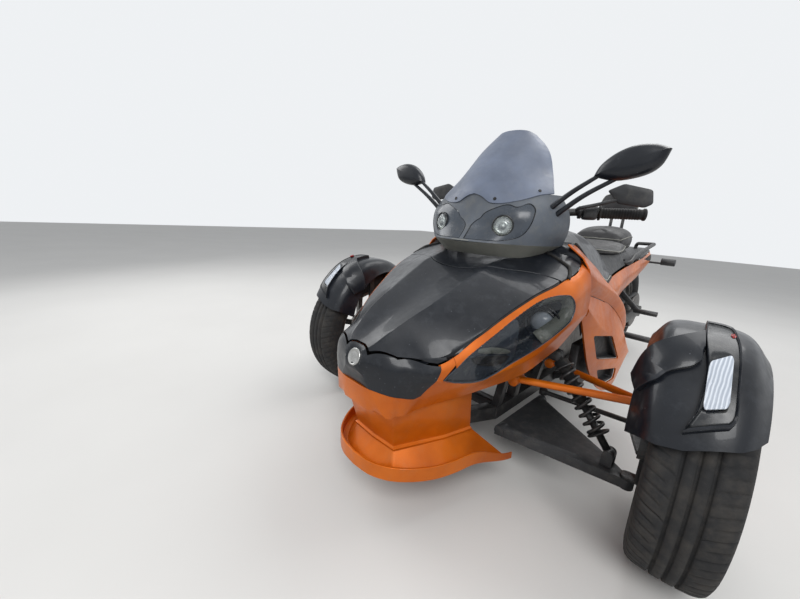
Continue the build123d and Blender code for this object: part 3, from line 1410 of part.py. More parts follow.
# The ends of the lip and of the plate's carrier are the vehicle's two ends
FRONT_AXLE_Y = -(LIP_ARC_Y - LIP_ARC_R + CARRIER_REAR_Y) / 2
BODY_SHIFT = Location((0, FRONT_AXLE_Y, 0))

os.makedirs("parts", exist_ok=True)
for name, shape in parts.items():
    export_step(BODY_SHIFT * shape, "parts/" + name + ".step")
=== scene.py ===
import bisect
import json
import math

import bpy
from mathutils import Matrix, Vector
from mathutils.bvhtree import BVHTree


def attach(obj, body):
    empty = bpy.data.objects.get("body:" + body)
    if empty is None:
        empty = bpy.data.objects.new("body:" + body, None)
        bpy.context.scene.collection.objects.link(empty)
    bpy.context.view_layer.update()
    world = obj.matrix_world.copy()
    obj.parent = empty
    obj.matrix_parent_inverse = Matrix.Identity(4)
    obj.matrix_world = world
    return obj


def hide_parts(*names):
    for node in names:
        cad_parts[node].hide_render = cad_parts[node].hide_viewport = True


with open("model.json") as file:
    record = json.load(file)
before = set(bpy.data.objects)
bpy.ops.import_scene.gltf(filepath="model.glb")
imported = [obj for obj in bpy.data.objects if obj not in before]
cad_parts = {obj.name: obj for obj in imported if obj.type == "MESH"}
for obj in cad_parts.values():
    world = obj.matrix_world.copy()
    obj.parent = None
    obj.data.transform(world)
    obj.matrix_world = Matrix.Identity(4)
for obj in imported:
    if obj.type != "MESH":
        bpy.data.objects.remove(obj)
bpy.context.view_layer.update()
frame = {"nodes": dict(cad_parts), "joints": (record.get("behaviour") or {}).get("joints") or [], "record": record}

# Tables and outlines are in millimetres, measured back from the front axle: x is to the
# vehicle's left, y to the rear, z up. place() turns them into the frame's metres.
MM = 0.001
UP = Vector((0, 0, 1))
JOINTS = {joint["name"]: joint for joint in frame["joints"]}
AXLE_Y = JOINTS["knuckle_left_turn"]["pos_m"][1]
STEER_REST = math.radians(5.5)


def place(x, y, z):
    return Vector((x * MM, y * MM + AXLE_Y, z * MM))


def srgb(*levels):
    """A colour given as it looks, 0 to 255, turned into the shader's linear values."""
    return tuple((v / 255 / 12.92) if v < 10 else ((v / 255 + 0.055) / 1.055) ** 2.4 for v in levels) + (1,)


def placed(name, data):
    """A new object in the scene."""
    made = bpy.data.objects.new(name, data)
    bpy.context.scene.collection.objects.link(made)
    return made


# Camera, solved from the wheels, arms and body points in the photograph
CAMERA_AT = (667.87, -1058.44, 840.13)
CAMERA_YAW = -0.79208
CAMERA_PITCH = 0.24008
CAMERA_ROLL = 0.06286
FOCAL_PX = 343.43
IMAGE_WIDTH_PX = 800
SENSOR_MM = 36


def make_camera():
    forward = Vector((math.sin(CAMERA_YAW) * math.cos(CAMERA_PITCH),
                      math.cos(CAMERA_YAW) * math.cos(CAMERA_PITCH), -math.sin(CAMERA_PITCH)))
    level = Vector((math.cos(CAMERA_YAW), -math.sin(CAMERA_YAW), 0))
    upright = level.cross(forward)
    right = level * math.cos(CAMERA_ROLL) + upright * math.sin(CAMERA_ROLL)
    up = upright * math.cos(CAMERA_ROLL) - level * math.sin(CAMERA_ROLL)
    data = bpy.data.cameras.new("camera")
    data.sensor_fit = "HORIZONTAL"
    data.sensor_width = SENSOR_MM
    data.lens = FOCAL_PX * SENSOR_MM / IMAGE_WIDTH_PX
    data.clip_start = 0.02
    camera = placed("camera", data)
    camera.matrix_world = Matrix.Translation(place(*CAMERA_AT)) @ Matrix((right, up, -forward)).transposed().to_4x4()
    bpy.context.scene.camera = camera


make_camera()


# Materials
class Finish:
    """A material and the nodes that feed its one shader."""

    def __init__(self, name, **settings):
        self.material = bpy.data.materials.new(name)
        self.material.use_nodes = True
        self.tree = self.material.node_tree
        self.shader = self.tree.nodes["Principled BSDF"]
        for socket, value in settings.items():
            self.shader.inputs[socket.replace("_", " ")].default_value = value
        self.place = self.node("ShaderNodeTexCoord").outputs["Object"]
        self.normal = None

    def node(self, kind, inputs=None, **attributes):
        made = self.tree.nodes.new(kind)
        for key, value in attributes.items():
            setattr(made, key, value)
        for key, value in (inputs or {}).items():
            if isinstance(value, bpy.types.NodeSocket):
                self.tree.links.new(value, made.inputs[key])
            else:
                made.inputs[key].default_value = value
        return made

    def noise(self, scale, detail, rough=0.55):
        inputs = {"Vector": self.place, "Scale": scale, "Detail": detail, "Roughness": rough}
        return self.node("ShaderNodeTexNoise", inputs).outputs["Fac"]

    def cells(self, scale, feature="F1"):
        inputs = {"Vector": self.place, "Scale": scale}
        return self.node("ShaderNodeTexVoronoi", inputs, feature=feature).outputs["Distance"]

    def remap(self, value, low, high, out_low=0.0, out_high=1.0):
        inputs = {"Value": value, "From Min": low, "From Max": high, "To Min": out_low, "To Max": out_high}
        return self.node("ShaderNodeMapRange", inputs).outputs["Result"]

    def patches(self, scale, detail, *limits, rough=0.55):
        """Noise whose values between two limits become 0 to 1, or two other limits."""
        return self.remap(self.noise(scale, detail, rough), *limits)

    def mix(self, share, a, b):
        """Two colours mixed by a share."""
        return self.node("ShaderNodeMix", {0: share, 6: a, 7: b}, data_type="RGBA").outputs[2]

    def feed(self, socket, value):
        self.tree.links.new(value, self.shader.inputs[socket])

    def dull(self, scale, detail, low, high):
        """Roughness that wanders between two values."""
        self.feed("Roughness", self.patches(scale, detail, 0.3, 0.7, low, high))

    def bump(self, height, depth_mm, strength):
        inputs = {"Height": height, "Distance": depth_mm * MM, "Strength": strength}
        if self.normal is not None:
            inputs["Normal"] = self.normal
        self.normal = self.node("ShaderNodeBump", inputs).outputs["Normal"]
        self.feed("Normal", self.normal)


def make_paint(name, colour, deep, flake, dust, metallic, rough, coat):
    """Body paint: metal flake under a clear coat, with a dust film and small stone chips."""
    paint = Finish(name, Metallic=metallic, Coat_Weight=coat, Coat_Roughness=0.06, Specular_IOR_Level=0.3)
    base = paint.mix(paint.patches(5.0, 4.0, 0.35, 0.65), deep, colour)
    base = paint.mix(paint.remap(paint.cells(1500.0), 0.0, 0.5, 0.14, 0.0), base, flake)
    base = paint.mix(paint.patches(26.0, 6.0, 0.52, 0.82, 0.0, 0.20, rough=0.7), base, dust)
    speck = paint.cells(95.0)
    chips = {0: paint.remap(speck, 0.12, 0.07), 1: paint.patches(30.0, 2.0, 0.54, 0.62)}
    mark = paint.node("ShaderNodeMath", chips, operation="MULTIPLY").outputs[0]
    paint.feed("Base Color", paint.mix(mark, base, dust))
    paint.feed("Roughness", paint.patches(40.0, 5.0, 0.3, 0.75, rough - 0.06, rough + 0.12))
    paint.bump(paint.remap(speck, 0.10, 0.17), 0.12, 0.4)
    paint.bump(paint.noise(600.0, 2.0), 0.02, 0.4)
    return paint.material


def make_matt(name, colour, tones, roughness, grain, **settings):
    """An unpolished surface: a colour, others in patches over it, the roughness and the grain."""
    matt = Finish(name, **settings)
    for patch, rough, tone in tones:
        colour = matt.mix(matt.patches(*patch, rough=rough), colour, tone)
    matt.feed("Base Color", colour)
    matt.dull(*roughness)
    matt.bump(matt.noise(*grain[:2]), *grain[2:])
    return matt.material


def make_plastic(name, colour, rough, grain_mm, dust_share=0.25, dust=srgb(120, 116, 108)):
    """Moulded plastic with a fine grain and a thin dust film."""
    light = tuple(min(1.0, c * 1.45) for c in colour[:3]) + (1,)
    tones = [((9.0, 4.0, 0.35, 0.7), 0.55, light), ((34.0, 6.0, 0.5, 0.85, 0.0, dust_share), 0.68, dust)]
    return make_matt(name, colour, tones, (55.0, 4.0, rough - 0.08, rough + 0.08), (1400.0, 3.0, grain_mm, 0.8),
                     Specular_IOR_Level=0.45)


def make_metal(name, colour, rough, grime):
    """Cast or drawn metal with grime in patches."""
    tones = [((30.0, 6.0, 0.4, 0.75, 0.0, grime), 0.7, srgb(52, 44, 36))]
    return make_matt(name, colour, tones, (70.0, 5.0, rough - 0.08, rough + 0.14), (420.0, 3.0, 0.12, 0.6),
                     Metallic=0.9)


def make_rubber(name, colour, rough):
    """Rubber, a little chalky where it has aged."""
    tones = [((24.0, 6.0, 0.42, 0.8, 0.0, 0.35), 0.7, srgb(92, 86, 78))]
    return make_matt(name, colour, tones, (60.0, 4.0, rough - 0.06, rough + 0.08), (900.0, 3.0, 0.08, 0.7),
                     Specular_IOR_Level=0.3)


def make_leather(name):
    """Seat covering: a pebbled black grain with fine creases."""
    leather = Finish(name, Specular_IOR_Level=0.45, Sheen_Weight=0.05)
    tone = leather.patches(12.0, 5.0, 0.35, 0.7)
    leather.feed("Base Color", leather.mix(tone, srgb(24, 24, 26), srgb(44, 43, 44)))
    leather.dull(35.0, 4.0, 0.38, 0.55)
    leather.bump(leather.cells(620.0), 0.25, 0.8)
    leather.bump(leather.cells(95.0, "SMOOTH_F1"), 0.35, 0.35)
    return leather.material


def make_clear(name, colour, low, high, **settings):
    """A clear or smoked moulding with light haze, which shows what lies behind it."""
    film = Finish(name, Base_Color=colour, **settings)
    film.feed("Roughness", film.patches(40.0, 5.0, 0.4, 0.8, low, high))
    return film.material


def make_ribbed_lens(name, colour, low, pitch, through):
    """A lens with fine upright flutes moulded into it, with painted shade in their low places."""
    lens = Finish(name, Transmission_Weight=through, IOR=1.35, Roughness=0.16)
    inputs = {"Vector": lens.place, "Scale": math.pi / (10 * pitch * MM), "Distortion": 1.8, "Detail Scale": 0.5}
    wave = lens.node("ShaderNodeTexWave", inputs).outputs["Fac"]
    # painted shade: the low colour darkens the flutes' low places
    lens.feed("Base Color", lens.mix(wave, low, colour))
    lens.bump(wave, 1.2, 0.9)
    return lens.material


MAKERS = {
    "orange_paint": (make_paint, srgb(206, 104, 8), srgb(172, 78, 4), srgb(246, 168, 76), srgb(158, 124, 88),
                     0.35, 0.38, 0.2),
    "black_paint": (make_paint, srgb(17, 21, 28), srgb(12, 15, 21), srgb(60, 68, 82), srgb(88, 92, 98),
                    0.0, 0.34, 0.2),
    "dark_plastic": (make_plastic, srgb(38, 39, 41), 0.52, 0.10),
    "cowl_grey": (make_plastic, srgb(74, 79, 86), 0.55, 0.08, 0.35, srgb(128, 124, 112)),
    "screen": (make_plastic, srgb(86, 94, 110), 0.46, 0.03, 0.3, srgb(120, 122, 126)),
    # for both ribbed lenses, the second colour is painted shade in the flutes' low places
    "clear_lens": (make_ribbed_lens, srgb(216, 222, 230), srgb(164, 172, 184), 6.0, 0.08),
    "red_lens": (make_ribbed_lens, srgb(190, 22, 16), srgb(120, 12, 10), 4.0, 0.3),
    "black_steel": (make_plastic, srgb(30, 30, 31), 0.42, 0.12, 0.35),
    "cast_metal": (make_metal, srgb(120, 118, 116), 0.48, 0.6),
    "steel": (make_metal, srgb(182, 182, 180), 0.30, 0.4),
    "tyre": (make_rubber, srgb(36, 36, 37), 0.82),
    "grip_rubber": (make_rubber, srgb(26, 26, 27), 0.66),
    "seat_leather": (make_leather,),
    "cowl_chin": (make_plastic, srgb(112, 112, 106), 0.6, 0.08, 0.4, srgb(150, 146, 132)),
    "mirror_silver": (make_metal, srgb(200, 204, 208), 0.08, 0.05),
    "lamp_inside": (make_plastic, srgb(54, 60, 68), 0.24, 0.02),
    "lamp_ring": (make_plastic, srgb(22, 24, 27), 0.28, 0.02),
    "lamp_silver": (make_metal, srgb(176, 176, 164), 0.26, 0.15),
    "lamp_shell": (make_plastic, srgb(104, 108, 102), 0.3, 0.02),
    # lamp_eye: the projector glass as opaque pale grey, painted light in place of the light and reflections seen in
    # the glass
    "lamp_eye": (make_plastic, srgb(150, 158, 166), 0.08, 0.01, 0.05),
}
FINISHES = {name: make(name, *values) for name, (make, *values) in MAKERS.items()}
FINISHES["lens"] = make_clear("lens", srgb(26, 30, 36), 0.04, 0.16, Alpha=0.22, Coat_Weight=1.0, Coat_Roughness=0.03,
                              IOR=1.5)
FINISHES["eye_glass"] = make_clear("eye_glass", srgb(214, 222, 232), 0.02, 0.12, Transmission_Weight=0.85, IOR=1.3)


# Curves
def steps(start, stop, count):
    return [start + (stop - start) * i / (count - 1) for i in range(count)]


def circle(count):
    """Angles once round, without the first one again at the end."""
    return steps(0, 2 * math.pi * (1 - 1 / count), count)


def between(a, b, share):
    """A point on the line from one point to another, of any dimension."""
    return tuple(p + (q - p) * share for p, q in zip(a, b))


def eased(share):
    """A share held between 0 and 1, with a soft start and end."""
    share = max(0.0, min(1.0, share))
    return share * share * (3 - 2 * share)


def blunt(value, power):
    return math.copysign(abs(value) ** power, value)


def smooth_at(knots, values, t):
    """The value at t of a smooth curve that passes through the values at the knots."""
    last = len(knots) - 1
    i = max(0, min(last - 1, bisect.bisect_right(knots, t) - 1))

    def slope(k):
        lo, hi = max(k - 1, 0), min(k + 1, last)
        if k in (lo, hi):
            return [(b - a) / (knots[hi] - knots[lo]) for a, b in zip(values[lo], values[hi])]
        before, after = knots[k] - knots[lo], knots[hi] - knots[k]
        return [((m - a) / before * after + (b - m) / after * before) / (before + after)
                for a, m, b in zip(values[lo], values[k], values[hi])]

    width = knots[i + 1] - knots[i]
    s = (t - knots[i]) / width
    if s < 0 or s > 1:
        end = 0 if s < 0 else last
        return tuple(v + m * (t - knots[end]) for v, m in zip(values[end], slope(end)))
    a, b = (2 * s ** 3 - 3 * s ** 2 + 1), (s ** 3 - 2 * s ** 2 + s) * width
    c, d = (3 * s ** 2 - 2 * s ** 3), (s ** 3 - s ** 2) * width
    return tuple(a * p + b * m + c * q + d * n
                 for p, m, q, n in zip(values[i], slope(i), values[i + 1], slope(i + 1)))


def lengths_along(points, least=0.0):
    """How far along a line each of its points is."""
    lengths = [0.0]
    for p, q in zip(points, points[1:]):
        lengths.append(lengths[-1] + max(math.dist(p, q), least))
    return lengths


def skin(table, mirrored=False, creases=()):
    """A smooth sheet through a table's rows. The result gives the two other coordinates at
    a row position and at a column position, with corners only at the creased columns."""
    keys = [row[0] for row in table]
    columns = list(zip(*[row[1:] for row in table]))
    top = len(columns) - 1
    corners = {top, *creases}
    corners = {top + side * m for m in corners for side in (-1, 1)} if mirrored else corners | {0}

    def at(key, t):
        line = [smooth_at(keys, column, key) for column in columns]
        if mirrored:
            line = [(-a, b) for a, b in line[:0:-1]] + line
            t += top
        t = max(0.0, min(len(line) - 1.0, t))
        i = min(int(t), len(line) - 2)
        first = max(c for c in corners if c <= i)
        part = line[first:min(c for c in corners if c > i) + 1]
        spread = lengths_along(part, 1e-3)
        near, far = spread[i - first], spread[i - first + 1]
        return smooth_at(spread, part, near + (far - near) * (t - i))

    return at


def plan_curve(points):
    """The second coordinate of a smooth line at any distance from the middle."""
    knots, values = [x for x, y in points], [(y,) for x, y in points]
    return lambda x: smooth_at(knots, values, abs(x))[0]


def plan_line(points):
    """The same for a line with corners."""
    def at(x):
        for (x0, y0), (x1, y1) in zip(points, points[1:]):
            if abs(x) <= x1:
                return y0 + (y1 - y0) * (abs(x) - x0) / (x1 - x0)
        return points[-1][1]

    return at


def boundary(before, low, high, turns):
    """Where a test that holds at the low end stops holding."""
    for _ in range(turns):
        middle = (low + high) / 2
        if before(middle):
            low = middle
        else:
            high = middle
    return (low + high) / 2


def closed_curve(points, count=5):
    """A smooth closed curve through the points; a point given twice is a corner."""
    n = len(points)
    curve = []
    for i in range(n):
        near = [points[(i + k - 1) % n] for k in range(4)]
        if near[1] == near[2]:
            continue
        for s in (step / count for step in range(count)):
            curve.append(tuple(0.5 * (2 * b + (c - a) * s + (2 * a - 5 * b + 4 * c - d) * s * s
                                      + (3 * b - a - 3 * c + d) * s ** 3)
                               for a, b, c, d in zip(*near)))
    return curve


def open_curve(points, count=6):
    """A smooth curve through points of any dimension, from the first to the last."""
    knots = lengths_along(points)
    return [smooth_at(knots, points, t) for t in steps(0, knots[-1], count * (len(points) - 1) + 1)]


def rounded_corners(outline, radius, count=5):
    """The outline with its corners rounded by curves of this reach."""
    points = []
    for i, corner in enumerate(outline):
        a, b, c = Vector(outline[i - 1]), Vector(corner), Vector(outline[(i + 1) % len(outline)])
        start = b + (a - b).normalized() * radius
        stop = b + (c - b).normalized() * radius
        points += [tuple(start * (1 - s) ** 2 + b * (2 * s * (1 - s)) + stop * s * s) for s in steps(0, 1, count)]
    return points


def middle_of(outline):
    return tuple(sum(values) / len(outline) for values in zip(*outline))


def scaled(outline, share, middle=None):
    """The outline drawn in towards its middle by the share."""
    a0, b0 = middle or middle_of(outline)
    return [(a0 + (a - a0) * share, b0 + (b - b0) * share) for a, b in outline]


def mirrored_line(half):
    """A line from the left side carried over to the right; its first point is on the middle."""
    return [(-x, y) for x, y in half[:0:-1]] + half


# Meshes
def mesh_of(points, faces):
    mesh = bpy.data.meshes.new("mesh")
    mesh.from_pydata([tuple(p) for p in points], [], faces)
    return mesh


def faces_between(rows, wrap):
    """Four-sided faces between rows of points."""
    count = len(rows[0])
    turn = count if wrap else count - 1
    return [(i * count + j, i * count + (j + 1) % count, (i + 1) * count + (j + 1) % count, (i + 1) * count + j)
            for i in range(len(rows) - 1) for j in range(turn)]


def grid_mesh(rows, wrap=False):
    """A sheet through rows of points."""
    mesh = mesh_of([p for row in rows for p in row], faces_between(rows, wrap))
    mesh.validate()
    return mesh


def closed_mesh(rings):
    """A solid through rings of points, with a face over each end, its faces turned outwards."""
    count = len(rings[0])
    ends = [tuple(range(count - 1, -1, -1)), tuple((len(rings) - 1) * count + j for j in range(count))]
    mesh = mesh_of([p for ring in rings for p in ring], faces_between(rings, True) + ends)
    volume = 0.0
    for face in mesh.polygons:
        corner = [mesh.vertices[v].co for v in face.vertices]
        for a, b in zip(corner[1:], corner[2:]):
            volume += corner[0].dot(a.cross(b))
    if volume < 0:
        mesh.flip_normals()
    return mesh


def facing(rows, centre, wrap=False):
    """A sheet whose faces look away from a line or point inside it."""
    mesh = grid_mesh(rows, wrap)
    total = 0.0
    for face in mesh.polygons:
        total += face.normal.dot(face.center - centre(face.center)) * face.area
    if total < 0:
        mesh.flip_normals()
    return mesh


def disc_mesh(rings):
    """Rings joined inwards, closed at the last one."""
    mesh = grid_mesh(rings, wrap=True)
    start = (len(rings) - 1) * len(rings[0])
    points = [v.co for v in mesh.vertices]
    return mesh_of(points, [tuple(face.vertices) for face in mesh.polygons] + [tuple(range(start, len(points)))])


def joined(*meshes):
    """Several meshes as one."""
    points, faces = [], []
    for mesh in meshes:
        start = len(points)
        points += [tuple(v.co) for v in mesh.vertices]
        faces += [tuple(start + v for v in face.vertices) for face in mesh.polygons]
    return mesh_of(points, faces)


def doubled(mesh):
    """The mesh and its mirror image on the vehicle's other side, as one."""
    other = mesh.copy()
    for vertex in other.vertices:
        vertex.co.x = -vertex.co.x
    other.flip_normals()
    return joined(mesh, other)


def take_mesh(holder):
    """The holder's mesh with its modifiers applied; the holder goes away."""
    seen = holder.evaluated_get(bpy.context.evaluated_depsgraph_get())
    mesh = bpy.data.meshes.new_from_object(seen)
    bpy.data.objects.remove(holder)
    return mesh


def add_wall(piece, wall):
    thick = piece.modifiers.new("wall", "SOLIDIFY")
    thick.thickness = wall * MM
    thick.offset = -1


def solid_sheet(mesh, wall):
    """The sheet with its thickness as real faces, ready to be cut."""
    holder = placed("holder", mesh)
    add_wall(holder, wall)
    return take_mesh(holder)


def cut(mesh, cutter, operation="DIFFERENCE"):
    """The mesh cut by another closed mesh."""
    holder, tool = placed("holder", mesh), placed("tool", cutter)
    step = holder.modifiers.new("cut", "BOOLEAN")
    step.object = tool
    step.operation = operation
    step.solver = "EXACT"
    result = take_mesh(holder)
    bpy.data.objects.remove(tool)
    return result


def prism(outline, axis, low, high):
    """A closed prism along x or z; its outline is given in the two other coordinates."""
    return closed_mesh([[place(depth, a, b) if axis == "x" else place(a, b, depth) for a, b in outline]
                        for depth in (low, high)])


def stacked(outline, levels, middle=None):
    """Rings from an outline: one at each y, at its share of full size."""
    return [[place(x, y, z) for x, z in scaled(outline, share, middle)] for y, share in levels]


def side_of(axis):
    """A direction square to an axis."""
    return axis.cross(UP if abs(axis.z) < 0.9 else Vector((1, 0, 0))).normalized()


def round_point(origin, axes, along, radius, angle):
    """A point at a distance along the first axis and at a radius round it, in millimetres."""
    axis, across, up = axes
    return origin + axis * (along * MM) + (across * math.cos(angle) + up * math.sin(angle)) * (radius * MM)


def tube_mesh(points, radius, sides=12, closed=False):
    """A round tube through points, each given in place; radius in millimetres or one for each."""
    count = len(points)
    rings = []
    across = None
    for i, point in enumerate(points):
        before = points[(i - 1) % count] if closed else points[max(i - 1, 0)]
        after = points[(i + 1) % count] if closed else points[min(i + 1, count - 1)]
        along = (after - before).normalized()
        across = (across - along * across.dot(along)).normalized() if rings else side_of(along)
        up = along.cross(across)
        size = (radius[i] if isinstance(radius, list) else radius) * MM
        rings.append([point + across * (size * math.cos(a)) + up * (size * math.sin(a)) for a in circle(sides)])
    return grid_mesh(rings + [rings[0]], wrap=True) if closed else closed_mesh(rings)


def lathe_mesh(profile, origin, axis, segments=48, closed=True):
    """A body of revolution; the profile is (distance along the axis, radius) in millimetres."""
    axis = Vector(axis).normalized()
    across = side_of(axis)
    axes = (axis, across, axis.cross(across))
    rings = [[round_point(origin, axes, along, radius, 2 * math.pi * i / segments) for i in range(segments)]
             for along, radius in profile]
    return closed_mesh(rings) if closed else grid_mesh(rings, wrap=True)


# Pieces
PIECE_CORNER = 38


def add_edge(piece, width, segments, angle):
    bevel = piece.modifiers.new("edge", "BEVEL")
    bevel.width = width * MM
    bevel.segments = segments
    bevel.limit_method = "ANGLE"
    bevel.angle_limit = math.radians(angle)
    bevel.harden_normals = True
    bevel.use_clamp_overlap = True


def paint_over(mesh, material):
    mesh.materials.clear()
    mesh.materials.append(material)
    mesh.polygons.foreach_set("use_smooth", [True] * len(mesh.polygons))


def add_piece(name, mesh, slot, replaces=(), body="chassis", wall=0.0, edge=0.0, segments=2):
    """A finished piece: its material, its thickness, its rounded edges and what it rides on."""
    piece = placed(name, mesh)
    paint_over(mesh, FINISHES[slot])
    if wall:
        add_wall(piece, wall)
    if edge:
        add_edge(piece, edge, segments, PIECE_CORNER)
    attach(piece, body)
    if replaces:
        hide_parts(*replaces)
    return piece


def both_sides(name, mesh, slot, replaces=(), **settings):
    """One mesh for both sides of the vehicle, as one piece."""
    return add_piece(name, doubled(mesh), slot, replaces, **settings)


# Curved sheets with things set into them
class Sheet:
    """A curved sheet over a skin; inside(point) is a point behind it. The skin's rows lie
    along the vehicle, or one above the other where it is upright."""

    def __init__(self, surface, inside, upright=False):
        self.surface = surface
        self.inside = inside
        self.upright = upright

    def at(self, t, key):
        a, b = self.surface(key, t)
        return place(a, b, key) if self.upright else place(a, key, b)

    def point(self, t, key, lift=0.0):
        p = self.at(t, key)
        if not lift:
            return p
        across = self.at(t + 0.04, key) - self.at(t - 0.04, key)
        along = self.at(t, key + 1.5) - self.at(t, key - 1.5)
        normal = across.cross(along).normalized()
        if normal.dot(p - self.inside(p)) < 0:
            normal.negate()
        return p + normal * (lift * MM)

    def rows(self, columns, keys, lift=0.0):
        return [[self.point(t, key, lift) for t in columns] for key in keys]

    def facing(self, rows, wrap=False):
        return facing(rows, self.inside, wrap)

    def span(self, columns, start, stop, count, lift=0.0):
        """Rows of points from one line to another; each line is a function of the column."""
        return [[self.point(t, start(t) + (stop(t) - start(t)) * share, lift) for t in columns]
                for share in steps(0, 1, count)]

    def ring(self, outline, lift, share=1.0):
        """The outline on the sheet, drawn in towards its middle by the share."""
        return [self.point(t, key, lift) for t, key in scaled(outline, share)]

    def opening(self, outline, out, deep):
        """A cutter through the sheet; its two faces follow the sheet."""
        shares = (0.05, 0.25, 0.5, 0.75, 1.0)
        return closed_mesh([self.ring(outline, out, share) for share in shares]
                           + [self.ring(outline, -deep, share) for share in shares[::-1]])

    def patch(self, outline, lift, dome=0.0, count=7):
        """A sheet over the outline, lifted by a distance or by a function of column and key."""
        rings = []
        for share in steps(1, 0.06, count):
            rise = dome * (1 - share * share)
            rings.append([self.point(t, key, (lift(t, key) if callable(lift) else lift) + rise)
                          for t, key in scaled(outline, share)])
        return disc_mesh(rings)


def middle_line(z):
    """The line along the vehicle's middle at a height: its point beside any other."""
    return lambda p: Vector((0, p.y, z * MM))


def middle_post(y):
    """The upright line in the vehicle's middle at a distance from the axle."""
    return lambda p: Vector((0, y * MM + AXLE_Y, p.z))


# The front body: y, then x and z of the valley, the ridge, the hood's edge, the lamp's
# upper edge, the lamp's lower edge and the lower edge of the skin
STATIONS = [
    (-556, (0, 488), (14, 489), (26, 483), (34, 474), (38, 456), (36, 440)),
    (-535, (0, 510), (42, 514), (78, 497), (96, 474), (102, 440), (92, 352)),
    (-500, (0, 532), (58, 541), (122, 501), (141, 480), (146, 445), (122, 342)),
    (-440, (0, 565), (75, 577), (172, 485), (182, 468), (184, 446), (134, 345)),
    (-336, (0, 614), (94, 626), (224, 555), (240, 530), (238, 436), (168, 354)),
    (-250, (0, 653), (104, 666), (250, 606), (270, 580), (276, 462), (232, 392)),
    (-165, (0, 690), (112, 704), (276, 650), (300, 622), (308, 492), (276, 420)),
    (-60, (0, 720), (122, 730), (300, 688), (332, 652), (342, 562), (306, 468)),
    (70, (0, 760), (120, 770), (272, 748), (322, 716), (350, 590), (334, 520)),
]
HOOD_COLUMN = 2
BAND_COLUMN = HOOD_COLUMN + 0.1
LAST_COLUMN = 5
PANEL = 6
HOOD_GAP = 5
SEAM = 0.6
FAIRING_FRONT_Y = -395.5
FAIRING_REAR_Y = 70
FAIRING_SLANT = 84
FAIRING_SLANT_Y = -200
FAIRING_SLANT_COLUMN = 3.8
NOSE_FRONT_Y = -556
NOSE_TIP_Z = 466
RIM_FRONT_RUN = 9
RIM_FLOOR_Z = 343
BAND_DROP = 0.52
BAND_DROP_Y = -70
BAND_DROP_RUN = 110
HOOD_FRONT_PLAN = [(0, -536), (18, -537), (44, -546), (116, -509), (176, -436), (200, -408)]
HOOD_REAR_PLAN = [(0, -170), (90, -164), (150, -128), (200, -90), (240, -72), (310, -62)]
NOSE_EDGE = [(-600, 412), (-533, 405), (-474, 393), (-457, 399), (-439, 442), (-426, 476), (-408, 560),
             (-400, 800), (-600, 800)]
NOSE_CAP = [(-561.5, 0.05), (-561.2, 0.35), (-560.2, 0.65), (-558.4, 0.88)]
NECK_SEAL = [(1.2, 62), (1.53, 49), (1.9, 22), (2.2, -12), (2.26, -30)]
LAMP_OUTLINE = [(4.03, -424), (4.03, -424), (4.03, -339), (3.98, -298), (3.88, -217), (3.86, -146),
                (3.9, -78), (3.84, -49), (3.57, -37), (3.2, -48), (2.9, -68), (2.62, -105), (2.5, -150),
                (2.52, -200), (2.66, -258), (2.76, -324), (3.04, -380), (3.43, -408)]
LAMP_NOTCH = [(-424, 446), (-380, 434), (-380, 509), (-408, 472)]
BADGE_AT = (0, -553, 477)
BADGE_AXIS = (0, -0.93, 0.36)
BADGE_R = 23
BODY_SKIN = skin(STATIONS, mirrored=True, creases=(1, 2, 4, 5))
HOOD_FRONT_Y = plan_line(HOOD_FRONT_PLAN)
HOOD_REAR_Y = plan_curve(HOOD_REAR_PLAN)


def spine(point):
    """The point of the vehicle's middle line that a body panel looks away from."""
    return Vector((0, point.y + 0.1, 0.38))


BODY = Sheet(BODY_SKIN, spine)


def where_plan(t, plan, low, high):
    """The y at which the skin's column t meets a plan line."""
    return boundary(lambda y: y < plan(BODY_SKIN(y, t)[0]), low, high, 30)


def make_hood():
    rows = []
    half = HOOD_COLUMN - 0.02
    for t in steps(-half, -1, 19) + steps(-1, 1, 37)[1:-1] + steps(1, half, 19):
        front = where_plan(t, lambda x: HOOD_FRONT_Y(x) + HOOD_GAP, -552, -300)
        rear = where_plan(t, HOOD_REAR_Y, -300, 60)
        rows.append([BODY.point(t, y) for y in steps(front, rear, 50)])
    add_piece("hood_skin", BODY.facing(rows), "black_paint", ["hood"], "hood", wall=PANEL, edge=2.2, segments=3)


def band_top(y):
    """The column at which the orange band meets the hood and the neck."""
    return BAND_COLUMN + BAND_DROP * eased((y - BAND_DROP_Y) / BAND_DROP_RUN)


def make_cowl_neck():
    """The fixed black panel behind the hood and the rubber strips beside both."""
    rows = []
    for share in steps(-1, 1, 61):
        front = where_plan(share * HOOD_COLUMN, lambda x: HOOD_REAR_Y(x) + HOOD_GAP, -300, 60)
        rows.append([BODY.point(share * (band_top(y) - 0.05), y) for y in steps(front, FAIRING_REAR_Y, 16)])
    add_piece("cowl_neck_skin", BODY.facing(rows), "black_paint", ["cowl_neck"], wall=PANEL, edge=1.5)
    path = [BODY.point(t, y, 1) for t, y in open_curve(NECK_SEAL)]
    both_sides("neck_seal", tube_mesh(path, 5.5, 8), "grip_rubber")
    path = [BODY.point(HOOD_COLUMN + 0.04, y, -5) for y in steps(-405, -70, 40)]
    both_sides("hood_seal", tube_mesh(path, 3.6, 8), "grip_rubber")


def nose_ring(columns, y, share=1.0):
    """Points of the nose's skin; a share under one draws them in to the nose's tip."""
    tip = place(0, y, NOSE_TIP_Z)
    ring = []
    for t in columns:
        x, z = BODY_SKIN(max(y, NOSE_FRONT_Y), t)
        ring.append(tip + (place(x, y, z) - tip) * share)
    return ring


def badge_seat(point):
    """Sinks a point in front of the badge's plane, so that the badge has a flat seat."""
    axis = Vector(BADGE_AXIS).normalized()
    off = point - place(*BADGE_AT)
    ahead = off.dot(axis)
    share = max(0.0, min(1.0, (BADGE_R + 8 - (off - axis * ahead).length / MM) / 5))
    return point - axis * (max(0.0, ahead) * share)


